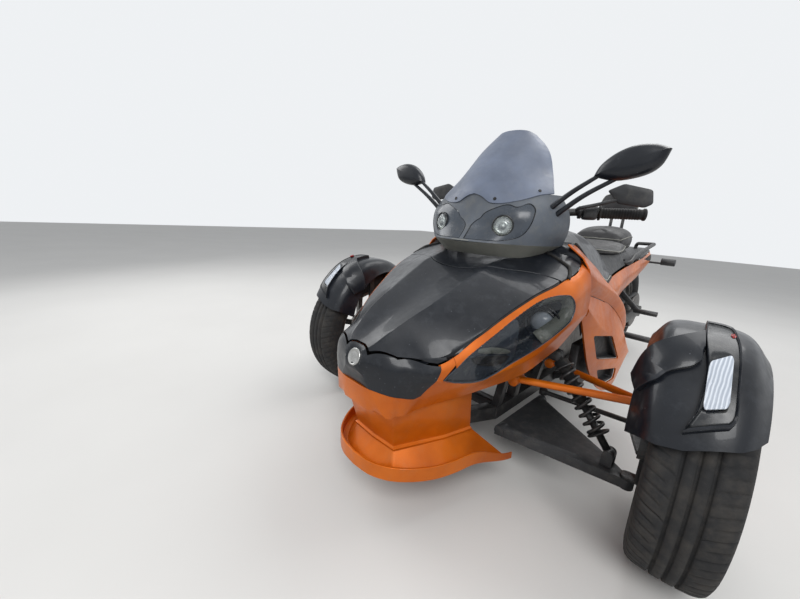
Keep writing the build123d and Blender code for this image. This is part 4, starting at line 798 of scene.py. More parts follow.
def make_nose():
    columns = steps(-4.96, 4.96, 121)
    rings = [nose_ring(columns, y, share) for y, share in NOSE_CAP]
    rings += [nose_ring(columns, y) for y in steps(NOSE_FRONT_Y, FAIRING_FRONT_Y - SEAM, 56)]
    rows = [[badge_seat(p) for p in ring] + [ring[-1].lerp(ring[0], s) for s in (0.25, 0.5, 0.75)] for ring in rings]
    solid = solid_sheet(BODY.facing(rows, wrap=True), PANEL)
    solid = cut(solid, prism(NOSE_EDGE, "x", -300, 300), "INTERSECT")
    ahead = mirrored_line(HOOD_FRONT_PLAN) + [(200, -700), (-200, -700)]
    solid = cut(solid, prism(ahead, "z", 300, 900), "INTERSECT")
    add_piece("nose_panel_skin", solid, "black_paint", ["nose_panel"], edge=1.4)


def floor_at(y):
    x, z = BODY_SKIN(max(y, NOSE_FRONT_Y), LAST_COLUMN)
    share = max(0.0, min(1.0, (y - NOSE_FRONT_Y - 2) / RIM_FRONT_RUN))
    return (0.7 * x, (z - 4) * (1 - share) + min(RIM_FLOOR_Z, z - 4) * share)


def make_rim():
    """The orange skin under the nose panel and beside it."""
    columns = steps(BAND_COLUMN, LAST_COLUMN, 46)
    rows = []
    first = NOSE_FRONT_Y + 2
    turn = first + RIM_FRONT_RUN
    for y in steps(first, turn, 10)[:-1] + steps(turn, FAIRING_FRONT_Y - SEAM, 54):
        left = nose_ring(columns, y)
        x, z = floor_at(y)
        left += [left[-1].lerp(place(x, y, z), s) for s in (0.33, 0.66, 1.0)]
        right = [Vector((-p.x, p.y, p.z)) for p in reversed(left)]
        rows.append(left + [left[-1].lerp(right[0], 0.5)] + right)
    lowered = [(y - SEAM, z - SEAM) if y < -420 else (y, z) for y, z in NOSE_EDGE]
    solid = cut(solid_sheet(BODY.facing(rows), PANEL), prism(lowered, "x", -300, 300))
    return cut(solid, prism(LAMP_NOTCH, "x", -400, 400))


BOX_TOP = [(102, -503), (152, -335), (172, -248)]
BOX_FOOT = [(80, -466), (136, -318), (160, -214)]
BOX_LEVELS = [(345, 0), (300, 0), (250, 0), (216, 0), (213, 4), (211, 7), (204, 7)]
BOX_TOP_Z = 345
BOX_FOOT_Z = 204
BOX_RUNS = (10, 18, 12, 12, 18, 10)
LIP_PLAN = [(0, -545), (62, -537), (112, -512), (155, -468), (190, -410), (210, -350), (223, -285), (238, -218),
            (264, -118)]
LIP_FRONT = (146, 188)
LIP_REAR = (112, 136)


def plan_path(corners, counts):
    """Points along a plan line with corners, as many on each run as its count."""
    path = [corners[0]]
    for a, b, count in zip(corners, corners[1:], counts):
        path += [between(a, b, i / count) for i in range(1, count + 1)]
    return path


def make_box():
    """The box under the nose: a flat front and two sides, with a raised flange round its foot."""
    rows = []
    for z, flare in BOX_LEVELS:
        share = (BOX_TOP_Z - z) / (BOX_TOP_Z - BOX_FOOT_Z)
        half = [between(a, b, share) for a, b in zip(BOX_TOP, BOX_FOOT)]
        half = [(x + flare, y - (flare if i == 0 else 0)) for i, (x, y) in enumerate(half)]
        line = mirrored_line([(0, half[0][1] - 5)] + half)
        rows.append([place(x, y, z) for x, y in plan_path(line, BOX_RUNS)])
    return solid_sheet(BODY.facing(rows), PANEL)


def open_spaced(corners, count):
    """Evenly spaced points along a line with corners."""
    lengths = [math.dist(a, b) for a, b in zip(corners, corners[1:])]
    points = []
    for i in range(count):
        left = sum(lengths) * i / (count - 1)
        for a, b, length in zip(corners, corners[1:], lengths):
            if left <= length + 1e-6:
                points.append(between(a, b, left / length))
                break
            left -= length
    return points


def make_lip():
    """A thin dish round the box's foot whose outer wall stands up."""
    edge = open_curve(LIP_PLAN)
    level = 32
    rings = []
    for i, (e, b) in enumerate(zip(edge, open_spaced([(0, BOX_FOOT[0][1])] + BOX_FOOT, len(edge)))):
        foot, top = between(LIP_FRONT, LIP_REAR, eased((i - level) / (len(edge) - level - 1)))
        step = PANEL / math.dist(e, b)
        w, m = between(e, b, step), between(e, b, 4 * step)
        rings.append([(*e, foot), (*e, top), (*w, top), (*w, foot + PANEL + 5), (*m, foot + PANEL + 3),
                      (*b, BOX_FOOT_Z + PANEL), (*b, BOX_FOOT_Z), (*m, foot - 2)])
    whole = [[place(-x, y, z) for x, y, z in ring] for ring in rings[:0:-1]]
    return closed_mesh(whole + [[place(*p) for p in ring] for ring in rings])


def make_front():
    for name, mesh, edge in (("rim_skin", make_rim(), 1.6), ("box_skin", make_box(), 1.8),
                             ("lip_skin", make_lip(), 1.6)):
        add_piece(name, mesh, "orange_paint", ["front_bumper"], edge=edge, segments=3)
    profile = [(-6, BADGE_R), (1, BADGE_R), (2.6, BADGE_R - 1), (3, BADGE_R - 2.4), (2.2, BADGE_R - 4),
               (1.4, BADGE_R - 5), (1.8, BADGE_R / 2), (2, 0.5)]
    add_piece("nose_badge", lathe_mesh(profile, place(*BADGE_AT), BADGE_AXIS), "steel")


def make_fairings():
    rows = []
    for y in steps(FAIRING_FRONT_Y, FAIRING_REAR_Y, 76):
        lean = max(0.0, (y - FAIRING_SLANT_Y) / (FAIRING_REAR_Y - FAIRING_SLANT_Y)) * FAIRING_SLANT
        rows.append([BODY.point(t, y - lean * max(0.0, t - FAIRING_SLANT_COLUMN))
                     for t in steps(band_top(y), LAST_COLUMN, 48)])
    outline = closed_curve(LAMP_OUTLINE)
    solid = cut(solid_sheet(BODY.facing(rows), PANEL), BODY.opening(outline, 20, 60))
    both_sides("side_fairing_skin", solid, "orange_paint", ["side_fairings"], edge=1.8, segments=3)


# Headlamps behind a smoked lens
LAMP_FLOOR = 9
LAMP_DEEP = 122
LAMP_DEEP_Y = -232
LAMP_DEEP_RUN = 40
LAMP_REAR_Y = -150
LEDGE = [(3.01, -342), (3.15, -315), (3.25, -300), (3.59, -252), (3.58, -269), (3.16, -338)]
INTAKE = [(3.13, -363), (3.13, -363), (3.72, -250), (3.72, -250), (3.82, -265), (3.76, -295), (3.55, -335),
          (3.38, -353)]
INTAKE_RINGS = [(-6.5, 1.0), (-6.0, 0.9), (-8.5, 0.86), (-8.6, 0.5), (-8.7, 0.1)]
REFLECTOR_RINGS = [(1.0, 0, -4), (0.86, 4, -16), (0.62, 12, -34)]
REFLECTOR_COLUMN = 3.3
PROJECTOR_AT = (272, -78, 558)
PROJECTOR_AXIS = (0.22, -0.97, 0.08)
PROJECTOR_RING = [(-70, 44), (-30, 50), (-2, 52), (2, 50), (2, 47), (-4, 44), (-6, 40), (-2, 38), (-2, 35), (-12, 33),
                  (-12, 2)]
PROJECTOR_DOME = [(-10, 34), (-4, 33.5), (3, 31), (9, 25), (13, 17), (15, 8), (15.4, 0.6)]


def lamp_depth(t, y):
    return -(LAMP_FLOOR + (LAMP_DEEP - LAMP_FLOOR) * eased((y - LAMP_DEEP_Y) / LAMP_DEEP_RUN))


def make_headlamps():
    outline = scaled(closed_curve(LAMP_OUTLINE), 0.988)
    lowest = [BODY.point(t, y, lamp_depth(t, y)) for t, y in outline]
    wall = grid_mesh([BODY.ring(outline, 0), BODY.ring(outline, -3), lowest], wrap=True)
    bowl = joined(BODY.patch(outline, lamp_depth, count=26), wall)
    both_sides("headlamp_bowl", bowl, "lamp_inside", ["headlamps"], wall=1.5)
    both_sides("headlamp_glass", solid_sheet(BODY.patch(outline, -0.5), 2.5), "lens", ["headlamps"], edge=0.8)
    intake = closed_curve(INTAKE)
    hole = disc_mesh([BODY.ring(intake, lift, share) for lift, share in INTAKE_RINGS])
    both_sides("lamp_intake", hole, "grip_rubber", wall=0.8)
    both_sides("lamp_ledge", BODY.patch(closed_curve(LEDGE), -6.6, 2.0), "lamp_shell", wall=0.8)
    rear = [(t, y) for t, y in outline if y > LAMP_REAR_Y]
    shell = grid_mesh([[BODY.point(REFLECTOR_COLUMN + (t - REFLECTOR_COLUMN) * share, y - back, lift)
                        for t, y in rear] for share, back, lift in REFLECTOR_RINGS])
    both_sides("lamp_reflector", shell, "lamp_shell", wall=1.0)
    centre = place(*PROJECTOR_AT)
    both_sides("lamp_projector", lathe_mesh(PROJECTOR_RING, centre, PROJECTOR_AXIS, 56), "lamp_ring")
    # the projector glass is opaque; its pale grey is painted light standing in for what the glass shows
    both_sides("projector_glass", lathe_mesh(PROJECTOR_DOME, centre, PROJECTOR_AXIS, closed=False), "lamp_eye")


# Cowl: an upper part and a chin that turns in under it, each lofted through outlines in plan
COWL_PLANS = [
    (731, (0, -88), (95, -76), (150, -30), (172, 40), (170, 95)),
    (775, (0, -148), (80, -140), (160, -84), (214, -6), (226, 95)),
    (822, (0, -112), (90, -112), (180, -74), (232, 6), (240, 90)),
    (872, (0, -100), (90, -98), (178, -66), (228, 10), (238, 84)),
    (928, (0, -92), (90, -72), (160, -26), (204, 26), (214, 60)),
]
COWL_WALL = 5
COWL_EDGE_Z = 775
COWL_CHIN = skin(COWL_PLANS[:2], mirrored=True)
COWL_UPPER = skin(COWL_PLANS[1:], mirrored=True)
COWL_MIDDLE_Y = 110
COWL = Sheet(lambda z, t: (COWL_UPPER if z >= COWL_EDGE_Z else COWL_CHIN)(z, t), middle_post(COWL_MIDDLE_Y), True)
EYE_OUTLINE = [(0.09, 781), (0.09, 781), (0.09, 820), (0.24, 838), (0.42, 849), (0.58, 866), (1.07, 887),
               (1.34, 892), (1.62, 886), (1.96, 898), (2.19, 886), (2.21, 864), (2.08, 824), (1.98, 801),
               (1.77, 790), (1.40, 782), (0.79, 781)]
EYE_AT = (118, -101, 828)
EYE_TURN = math.radians(20)
EYE_RING = [(-34, 33), (1, 33), (4, 32), (4.5, 30), (2, 28.5), (-8, 28), (-8, 2), (-34, 2)]
EYE_BOWL = [(0, 28), (-3, 25), (-5, 19), (-6, 12), (-3, 9), (0, 6), (1, 0.5)]
EYE_DOME = [(0, 28.4), (3, 26), (6, 20), (8, 12), (9, 5), (9.2, 0.5)]


def make_cowl():
    columns = steps(-4, 4, 113)
    chin = COWL.facing(COWL.rows(columns, steps(COWL_PLANS[0][0], COWL_EDGE_Z, 9)))
    upper = COWL.facing(COWL.rows(columns, steps(COWL_EDGE_Z, COWL_PLANS[-1][0], 30)))
    add_piece("cowl_chin", chin, "cowl_chin", ["cowl"], wall=COWL_WALL, edge=1.2)
    outline = closed_curve(EYE_OUTLINE)
    solid = solid_sheet(upper, COWL_WALL)
    for side in (1, -1):
        solid = cut(solid, COWL.opening([(t * side, z) for t, z in outline], 12, 14))
    add_piece("cowl_skin", solid, "cowl_grey", ["cowl"], edge=1.6, segments=3)
    centre = place(*EYE_AT)
    axis = Vector((math.sin(EYE_TURN), -math.cos(EYE_TURN), 0.04))
    panel = solid_sheet(COWL.patch(scaled(outline, 0.965), -4.5, count=12), 3)
    panel = cut(panel, lathe_mesh([(-60, 31), (60, 31)], centre, axis, 40))
    both_sides("cowl_lamp_panel", panel, "lamp_inside", ["cowl_lamps"], edge=0.8)
    wall = grid_mesh([COWL.ring(outline, -1), COWL.ring(outline, -14)], wrap=True)
    both_sides("cowl_lamp_wall", wall, "lamp_ring", wall=0.8)
    both_sides("cowl_eye_ring", lathe_mesh(EYE_RING, centre, axis), "lamp_ring")
    for name, profile, slot in (("bowl", EYE_BOWL, "lamp_silver"), ("glass", EYE_DOME, "eye_glass")):
        both_sides("cowl_eye_" + name, lathe_mesh(profile, centre, axis, 40, closed=False), slot, ["cowl_lamps"])


# Windscreen: over the cowl's top, with an arch cut out of its foot
SCREEN_PLANS = [
    (872, (0, -100), (90, -98), (178, -66), (228, 10)),
    (928, (0, -92), (90, -72), (160, -26), (204, 26)),
    (1000, (0, -40), (80, -20), (136, 40), (158, 96)),
    (1080, (0, 30), (62, 48), (104, 84), (118, 118)),
    (1145, (0, 92), (26, 96), (44, 106), (50, 120)),
]
SCREEN_FOOT = [(0, 922), (0.3, 914), (0.62, 896), (1.0, 893), (1.6, 903), (2.3, 922), (3, 930)]
SCREEN_TOP_Z = SCREEN_PLANS[-1][0] - 3
SCREEN_LIFT = 3.5
SCREEN_CORNER_DROP = 16
SCREWS_AT = [(0.8, 906), (2.3, 935)]
SCREEN = Sheet(skin(SCREEN_PLANS, mirrored=True), middle_post(COWL_MIDDLE_Y + 60), True)
SCREW = [(-1, 5), (1.4, 5), (2.0, 4.2), (1.2, 2.4), (1.2, 0.4)]


def make_windscreen():
    rows = SCREEN.span(steps(-3, 3, 73), plan_curve(SCREEN_FOOT),
                       lambda t: SCREEN_TOP_Z - SCREEN_CORNER_DROP * (abs(t) / 3) ** 3, 54, SCREEN_LIFT)
    add_piece("windscreen_sheet", SCREEN.facing(rows), "screen", ["windscreen"], wall=4, edge=1.3, segments=3)
    screws = []
    for t, z in SCREWS_AT:
        here = SCREEN.point(t, z, SCREEN_LIFT)
        screws.append(lathe_mesh(SCREW, here, SCREEN.point(t, z, SCREEN_LIFT + 5) - here, 20))
    both_sides("screen_screws", joined(*screws), "grip_rubber")


# Mirrors: a leaf-shaped head on two slim rails
MIRROR_OUTLINE = [(313, 974), (313, 974), (327, 1004), (360, 1032), (400, 1047), (442, 1046), (474, 1034),
                  (474, 1034), (460, 996), (428, 974), (367, 963)]
MIRROR_RINGS = [(13, 0.86), (11, 0.9), (16, 0.95), (13, 1.0), (2, 1.0), (-7, 0.93), (-13, 0.79), (-17, 0.52),
                (-18, 0.12)]
MIRROR_RAILS = [((205, 2, 884), (262, 0, 932), (325, 2, 976)), ((222, 14, 868), (296, 6, 925), (372, 6, 970))]
MIRROR_RAIL_RS = (8.5, 5.5)
GLASS_RINGS = [(13.6, 0.87), (13.6, 0.5), (13.6, 0.1)]


def make_mirrors():
    outline = closed_curve(MIRROR_OUTLINE)
    parts = [closed_mesh(stacked(outline, MIRROR_RINGS))]
    for path in MIRROR_RAILS:
        line = [place(*p) for p in open_curve(path)]
        parts.append(tube_mesh(line, steps(*MIRROR_RAIL_RS, len(line)), 10))
    both_sides("mirror_heads", joined(*parts), "black_paint", ["mirrors"], edge=0.8)
    both_sides("mirror_glass", disc_mesh(stacked(outline, GLASS_RINGS)), "mirror_silver", wall=1)


# Side, shoulder and tail panels: sheets through rows of half sections, from the upper edge down
SIDE_STATIONS = [
    (82, (304, 640), (336, 600), (330, 556)),
    (240, (318, 602), (356, 500), (338, 340)),
    (400, (332, 550), (372, 440), (350, 216)),
    (560, (344, 454), (380, 360), (356, 202)),
    (700, (338, 334), (362, 312), (350, 284)),
]
VENTS = [[(186, 486), (336, 462), (480, 338), (268, 380)],
         [(300, 330), (498, 292), (528, 232), (372, 240)]]
VENT_DEPTHS = (7, 22, 36)
SIDE_FRONT = [(0, 78), (0.45, 79), (0.62, 96), (1.0, 106), (1.4, 100), (2, 60)]
SIDE_REAR_Y = 700
LINER_DEPTH = 12
SHOULDER_ROWS = [
    (70.6, (254, 786), (306, 750), (332, 706)),
    (160, (248, 776), (304, 728), (336, 660)),
    (240, (250, 741), (304, 700), (338, 640)),
    (400, (241, 672), (293, 640), (345, 590)),
    (560, (240, 623), (282, 582), (348, 500)),
    (608, (240, 607), (278, 566), (344, 462)),
]
SHOULDER_SEAM = 1.4
TAIL_ROWS = [
    (620, (238, 606), (250, 540), (238, 472)),
    (812, (214, 622), (238, 560), (236, 482)),
    (1056, (196, 640), (214, 590), (206, 512)),
    (1540, (178, 676), (190, 626), (172, 566)),
    (1900, (138, 700), (152, 662), (134, 616)),
    (2060, (96, 706), (108, 680), (96, 650)),
]
TAIL_INSERT = [(0.25, 1560), (0.25, 1560), (0.3, 1800), (0.55, 1900), (0.55, 1900), (1.1, 1800)]
SIDE_SKIN = skin(SIDE_STATIONS, creases=(1,))
SIDE = Sheet(SIDE_SKIN, middle_line(400))


def make_side_panels():
    mesh = SIDE.facing(SIDE.span(steps(0, 2, 40), plan_line(SIDE_FRONT), lambda t: SIDE_REAR_Y, 60))
    solid = solid_sheet(mesh, PANEL)
    walls = []
    for vent in VENTS:
        outline = rounded_corners(vent, 16)
        solid = cut(solid, prism(outline, "x", 200, 500))
        walls.append(vent_wall(outline))
    both_sides("side_panel_skin", solid, "orange_paint", ["side_panels"], edge=2.6, segments=3)
    both_sides("vent_walls", joined(*walls), "dark_plastic", wall=2)
    liner = grid_mesh(SIDE.rows(steps(0.3, 2, 20), steps(50, 130, 8), -LINER_DEPTH))
    both_sides("side_liner", liner, "dark_plastic", wall=2)


def vent_wall(outline):
    """The deep edge of a vent, from just behind the panel's skin inwards."""
    columns = [boundary(lambda t: SIDE_SKIN(y, t)[1] > z, 0.0, 2.0, 20) for y, z in outline]
    rings = [[SIDE.point(t, y, -depth) for t, (y, z) in zip(columns, outline)] for depth in VENT_DEPTHS]
    centre = sum(rings[-1], Vector()) / len(rings[-1])
    rings += [[centre + (p - centre) * share for p in rings[2]] for share in (0.6, 0.2)]
    return disc_mesh(rings)


def make_rear_panels():
    table = []
    for y, *line in SHOULDER_ROWS:
        x, z = SIDE_SKIN(max(y, SIDE_STATIONS[0][0]), 0)
        table.append((y, *line, (x, z + SHOULDER_SEAM)))
    shoulder = Sheet(skin(table, creases=(1,)), middle_line(560))
    tail = Sheet(skin(TAIL_ROWS), middle_line(560))
    for name, sheet, rows, columns, count in (("shoulder", shoulder, table, steps(0, 3, 44), 60),
                                              ("tail", tail, TAIL_ROWS, steps(0, 2, 26), 80)):
        mesh = sheet.facing(sheet.rows(columns, steps(rows[0][0], rows[-1][0], count)))
        both_sides(name + "_skin", mesh, "orange_paint", [name + "_panels"], wall=PANEL, edge=2.2, segments=3)
    both_sides("tail_insert", tail.patch(closed_curve(TAIL_INSERT), 0.8), "grip_rubber", wall=0.6)


# Fenders: rows by degrees from the top, each of offsets from the wheel's middle and radii,
# drawn over a wheel that points straight ahead and then steered with it
FENDER_ROWS = [
    (-60, (-130, 209), (-88, 288), (-34, 308), (46, 306), (79, 276)),
    (-47, (-132, 230), (-92, 305), (-36, 322), (48, 316), (81, 282)),
    (-20, (-132, 270), (-98, 339), (-40, 348), (46, 336), (82, 292)),
    (12, (-130, 294), (-98, 336), (-34, 345), (48, 334), (83, 292)),
    (40, (-126, 280), (-80, 322), (-28, 333), (48, 325), (83, 290)),
    (66, (-118, 262), (-70, 300), (-22, 312), (42, 306), (81, 288)),
]
FENDER_FRONT = [(0, -60), (0.8, -61), (1.3, -61.6), (2.04, -60.3), (2.52, -57), (3.57, -50.7), (4, -46)]
FENDER_REAR = 66
FENDER_WALL = 4
WHEEL_X = 654
KINGPIN_X = 548
AXLE_Z = 285
BEZEL = [(2.02, -1), (2.02, -1), (2.46, -3.5), (2.60, -12.2), (2.67, -21.4), (2.70, -35.6), (2.73, -45.8),
         (2.67, -49.1), (2.67, -49.1), (1.97, -55), (1.97, -55), (2.12, -48.4), (2.17, -36.9), (2.17, -29.2),
         (2.05, -14.9)]
BEZEL_RISE = 11
BEZEL_RINGS = [(-1, 1.0), (BEZEL_RISE, 0.97), (BEZEL_RISE + 1, 0.955), (BEZEL_RISE - 1, 0.92)]
FENDER_LENS = [(2.20, -29.1), (2.52, -24.5), (2.56, -43.5), (2.23, -45.9)]
LENS_HEART = (2.34, -40)
DEGREES_PER_COLUMN = 60
STRAKE_HIGH = [(2.03, -14.4), (1.57, -18.3), (0.98, -22.3), (0.46, -24.7), (0.06, -30)]
STRAKE_LOW = [(2.09, -22.7), (1.85, -31.5), (1.34, -34.7), (0.86, -39.0), (0.4, -40.5)]
STRAKE_SECTION = [(-0.05, -1), (0.0, 15), (0.06, 19), (0.5, 17), (0.93, 13), (1.0, 10), (0.97, -1)]
REFLECTOR = (2.52, -12.5)
REFLECTOR_SIZE = (0.045, 1.6)
FENDER_SKIN = skin(FENDER_ROWS)


class Fender(Sheet):
    """The sheet over one front wheel; its keys are degrees back from the top."""

    def __init__(self, side):
        hub = place(WHEEL_X * side, 0, AXLE_Z)
        super().__init__(FENDER_SKIN, lambda p: hub)
        self.side = side

    def at(self, t, degrees):
        u, r = self.surface(degrees, t)
        angle = math.radians(degrees)
        x = (WHEEL_X + u - KINGPIN_X) * self.side
        y = r * math.sin(angle)
        return place(KINGPIN_X * self.side + x * math.cos(STEER_REST) - y * math.sin(STEER_REST),
                     x * math.sin(STEER_REST) + y * math.cos(STEER_REST), AXLE_Z + r * math.cos(angle))


def make_fender(side, word):
    def add(name, mesh, slot, replaces=(), **settings):
        add_piece(f"fender_{name}_{word}", mesh, slot, [r + word for r in replaces], "knuckle_" + word, **settings)

    sheet = Fender(side)
    lens = rounded_lens(FENDER_LENS)
    rows = sheet.span(steps(0, 4, 60), plan_line(FENDER_FRONT), lambda t: FENDER_REAR, 70)
    solid = cut(solid_sheet(sheet.facing(rows), FENDER_WALL), sheet.opening(lens, 24, 16))
    add("skin", solid, "black_paint", ["fender_"], edge=1.8, segments=3)
    bezel = closed_curve(BEZEL)
    plate = grid_mesh([sheet.ring(bezel, lift, share) for lift, share in BEZEL_RINGS], wrap=True)
    add("bezel", plate, "black_paint", wall=1.2, edge=0.5)
    rim = scaled(bezel, 0.925)
    hole = [crossing(lens, LENS_HEART, point) for point in rim]
    rows = [[sheet.point(*between(a, b, share), BEZEL_RISE - 1) for a, b in zip(rim, hole)]
            for share in steps(0, 1, 6)]
    add("bezel_face", sheet.facing(rows + [sheet.ring(hole, -2)], wrap=True), "lamp_ring", wall=1.2)
    clear = solid_sheet(sheet.patch(scaled(lens, 0.975), BEZEL_RISE - 1, 1.5), 9)
    add("lens", clear, "clear_lens", ["fender_lamp_"], edge=1.0)
    rows = [[sheet.point(*between(a, b, share), lift) for share, lift in STRAKE_SECTION]
            for a, b in zip(open_curve(STRAKE_HIGH), open_curve(STRAKE_LOW))]
    add("strake", sheet.facing(rows), "black_paint", wall=1.5, edge=1.0)
    (t0, a0), (wide, tall) = REFLECTOR, REFLECTOR_SIZE
    dot = [(t0 + wide * math.cos(a), a0 + tall * math.sin(a)) for a in circle(24)]
    add("reflector", solid_sheet(sheet.patch(dot, BEZEL_RISE, 1.2), 6), "red_lens")


def crossing(outline, heart, towards):
    """Where the line from the heart of a convex outline through a point crosses the outline."""
    dt, da = towards[0] - heart[0], towards[1] - heart[1]
    for (t1, a1), (t2, a2) in zip(outline, outline[1:] + outline[:1]):
        et, ea = t2 - t1, a2 - a1
        area = dt * ea - da * et
        if abs(area) > 1e-12:
            along = ((t1 - heart[0]) * ea - (a1 - heart[1]) * et) / area
            share = ((t1 - heart[0]) * da - (a1 - heart[1]) * dt) / area
            if along > 0 and -1e-9 <= share <= 1 + 1e-9:
                return heart[0] + dt * along, heart[1] + da * along
    raise ValueError("the heart lies outside the outline")


def rounded_lens(outline):
    """The lens outline with small rounded corners; its two coordinates differ in scale."""
    tall = [(t * DEGREES_PER_COLUMN, degrees) for t, degrees in outline]
    return [(a / DEGREES_PER_COLUMN, b) for a, b in rounded_corners(tall, 2.2)]


# Tyres: piece, body, node, radius, width, the rim's radius and the number of slits. The
# tread carries three grooves and slanted slits on its shoulders.
TYRES = [("tyre_skin_left", "wheel_front_left", "tyre_front_left", 285, 165, 178, 72),
         ("tyre_skin_right", "wheel_front_right", "tyre_front_right", 285, 165, 178, 72),
         ("tyre_skin_rear", "wheel_rear", "tyre_rear", 303, 225, 190, 76)]
GROOVE = [(4.2, 0), (3.2, 6.5), (-3.2, 6.5), (-4.2, 0)]
CROWN_DROP = 3.4
SLIT_STEP = 7
SLIT_LEAN = 9
SLIT_DEPTH = 4.5
SLIT_REACHES = (0.40, 0.58)
SLIT_END = 0.94
SLIT_BAND = 24


def tyre_profile(radius, width, rim_r):
    half = width / 2
    side = [(0.73, rim_r + 3), (0.75, rim_r + 12), (0.80, rim_r + 17), (0.9, rim_r + 21), (0.96, rim_r + 34),
            (0.995, (radius + rim_r) / 2), (0.99, radius - 48), (0.965, radius - 34), (0.93, radius - 22),
            (0.87, radius - 12.5), (0.79, radius - 7.6), (0.70, radius - 5), (0.62, radius - CROWN_DROP),
            (0.46, radius - 1.9)]
    side = [(share * half, r) for share, r in side]
    tread = []
    for centre in (0.3 * half, 0.0, -0.3 * half):
        for shift, depth in GROOVE:
            u = centre + shift
            tread.append((u, radius - CROWN_DROP * (u / (0.62 * half)) ** 2 - depth))
    return side + tread + [(-u, r) for u, r in side[::-1]]


def make_tyre(name, body, node, radius, width, rim_r, slits):
    joint = JOINTS[body + "_spin"]
    origin, axis = Vector(joint["pos_m"]), Vector(joint["axis"]).normalized()
    across = axis.cross(UP).normalized()
    axes = (axis, across, across.cross(axis))
    half = width / 2
    count = slits * SLIT_STEP
    rows = []
    for i in range(count):
        reach = SLIT_REACHES[i // SLIT_STEP % 2]
        ring = []
        for u, r in tyre_profile(radius, width, rim_r):
            lean = max(0.0, abs(u) - 0.34 * half) / half
            if i % SLIT_STEP == 0 and reach * half < abs(u) < SLIT_END * half and r > radius - SLIT_BAND:
                r -= SLIT_DEPTH
            ring.append(round_point(origin, axes, u, r, 2 * math.pi * (i + lean * SLIT_LEAN) / count))
        rows.append(ring)
    mesh = facing(rows + [rows[0]], lambda p: origin + axis * (p - origin).dot(axis))
    add_piece(name, mesh, "tyre", [node], body)


# Tank cover: from the cowl's rear to the seat's hinge, with the collar that joins it to the neck
COVER_TOP = [
    (104, (0, 792), (90, 790), (180, 788)),
    (160, (0, 797), (88, 794), (165, 784)),
    (240, (0, 805), (84, 799), (142, 777)),
    (400, (0, 826), (91, 820), (151, 785)),
    (560, (0, 818), (94, 811), (155, 770)),
    (606, (0, 811), (94, 805), (156, 763)),
    (742, (0, 784), (84, 778), (138, 738)),
]
COVER_RISE = 5
COLUMN_HOLE_R = 24
COLUMN_RAKE = math.radians(6)
COLUMN_AXIS = Vector((0, math.sin(COLUMN_RAKE), math.cos(COLUMN_RAKE)))
COLUMN_TOP = place(0, 210, 872)
COLUMN_BOOT = [(-92, 40), (-88, 40), (-84, 34), (-78, 36), (-72, 29), (-66, 31), (-60, 26), (-54, 27), (-50, 22)]
SEAT_HINGE = (749, 764)
BULKHEAD_FOOT_Z = 720
COVER_STRIP_Y = 150


def edge_rows():
    """Each row of the cover with its outer edge on the orange panels' upper edge."""
    rows = SHOULDER_ROWS + TAIL_ROWS
    table = []
    for y, *line in COVER_TOP:
        x, z = smooth_at([row[0] for row in rows], [row[1] for row in rows], y)
        table.append((y, *line, (x, z + COVER_RISE)))
    return table


COVER = Sheet(skin(edge_rows(), mirrored=True), middle_line(500))


def make_cover():
    first, last = COVER_TOP[0][0], COVER_TOP[-1][0]
    mesh = COVER.facing(COVER.rows(steps(-3, 3, 97), steps(first, last, 90)))
    hole = lathe_mesh([(-150, COLUMN_HOLE_R), (60, COLUMN_HOLE_R)], COLUMN_TOP, COLUMN_AXIS, 40)
    add_piece("tank_cover_skin", cut(solid_sheet(mesh, PANEL - 1), hole), "black_paint", ["tank_cover"], edge=1.5)
    boot = lathe_mesh(COLUMN_BOOT, COLUMN_TOP, COLUMN_AXIS, 40, closed=False)
    add_piece("column_boot", boot, "grip_rubber", wall=1.5)
    rear = [COVER.point(t, last) for t in steps(-2.2, 2.2, 41)]
    lower = [p.lerp(place(0, last, BULKHEAD_FOOT_Z), 0.12) + Vector((0, 0, -0.034)) for p in rear]
    bulkhead = grid_mesh([rear, [p.lerp(q, 0.5) for p, q in zip(rear, lower)], lower])
    add_piece("cover_bulkhead", bulkhead, "black_paint", wall=4)
    barrel = lathe_mesh([(-12, 5), (-12, 6), (12, 6), (12, 5)], place(0, *SEAT_HINGE), (1, 0, 0), 24)
    add_piece("cover_hinge", barrel, "black_steel", ["tank_cover"])
    for name, t, lift, radius, slot in (("strip", 2.99, -1, 5.5, "grip_rubber"),
                                        ("piping", 2.93, 1.5, 2.6, "lamp_silver")):
        line = [COVER.point(t, y, lift) for y in steps(COVER_STRIP_Y, last, 60)]
        both_sides("cover_" + name, tube_mesh(line, radius, 10), slot)
    reach = band_top(FAIRING_REAR_Y) - 0.05
    neck = [BODY.point(s * reach, FAIRING_REAR_Y, -0.5) for s in steps(-1, 1, 81)]
    front = [COVER.point(3 * s, first, -0.5) for s in steps(-1, 1, 81)]
    mid = [p.lerp(q, 0.5) + Vector((0, 0, 0.004)) for p, q in zip(neck, front)]
    add_piece("neck_collar", COVER.facing([neck, mid, front]), "black_paint", wall=4)


# Cushions: an even mesh of the pad swelled as cloth over stuffing, then its piping. A pad's
# rows are y, half its width and the height of its top.
SEAT_TOP_Z = 712
RIDER_PAD = [(757, 118, 760), (900, 172, 744), (1060, 182, 744), (1150, 170, 784)]
PASSENGER_PAD = [(1172, 132, 822), (1280, 142, 850), (1380, 136, 850), (1440, 116, 838)]
PAD_VOXEL = 6
PAD_PRESSURE = 4.0
PAD_CAP = 6
PAD_FRAMES = 20
WELT_R = 2.4
WELT_LIFT = 0.8
PAD_END_RUN = 26


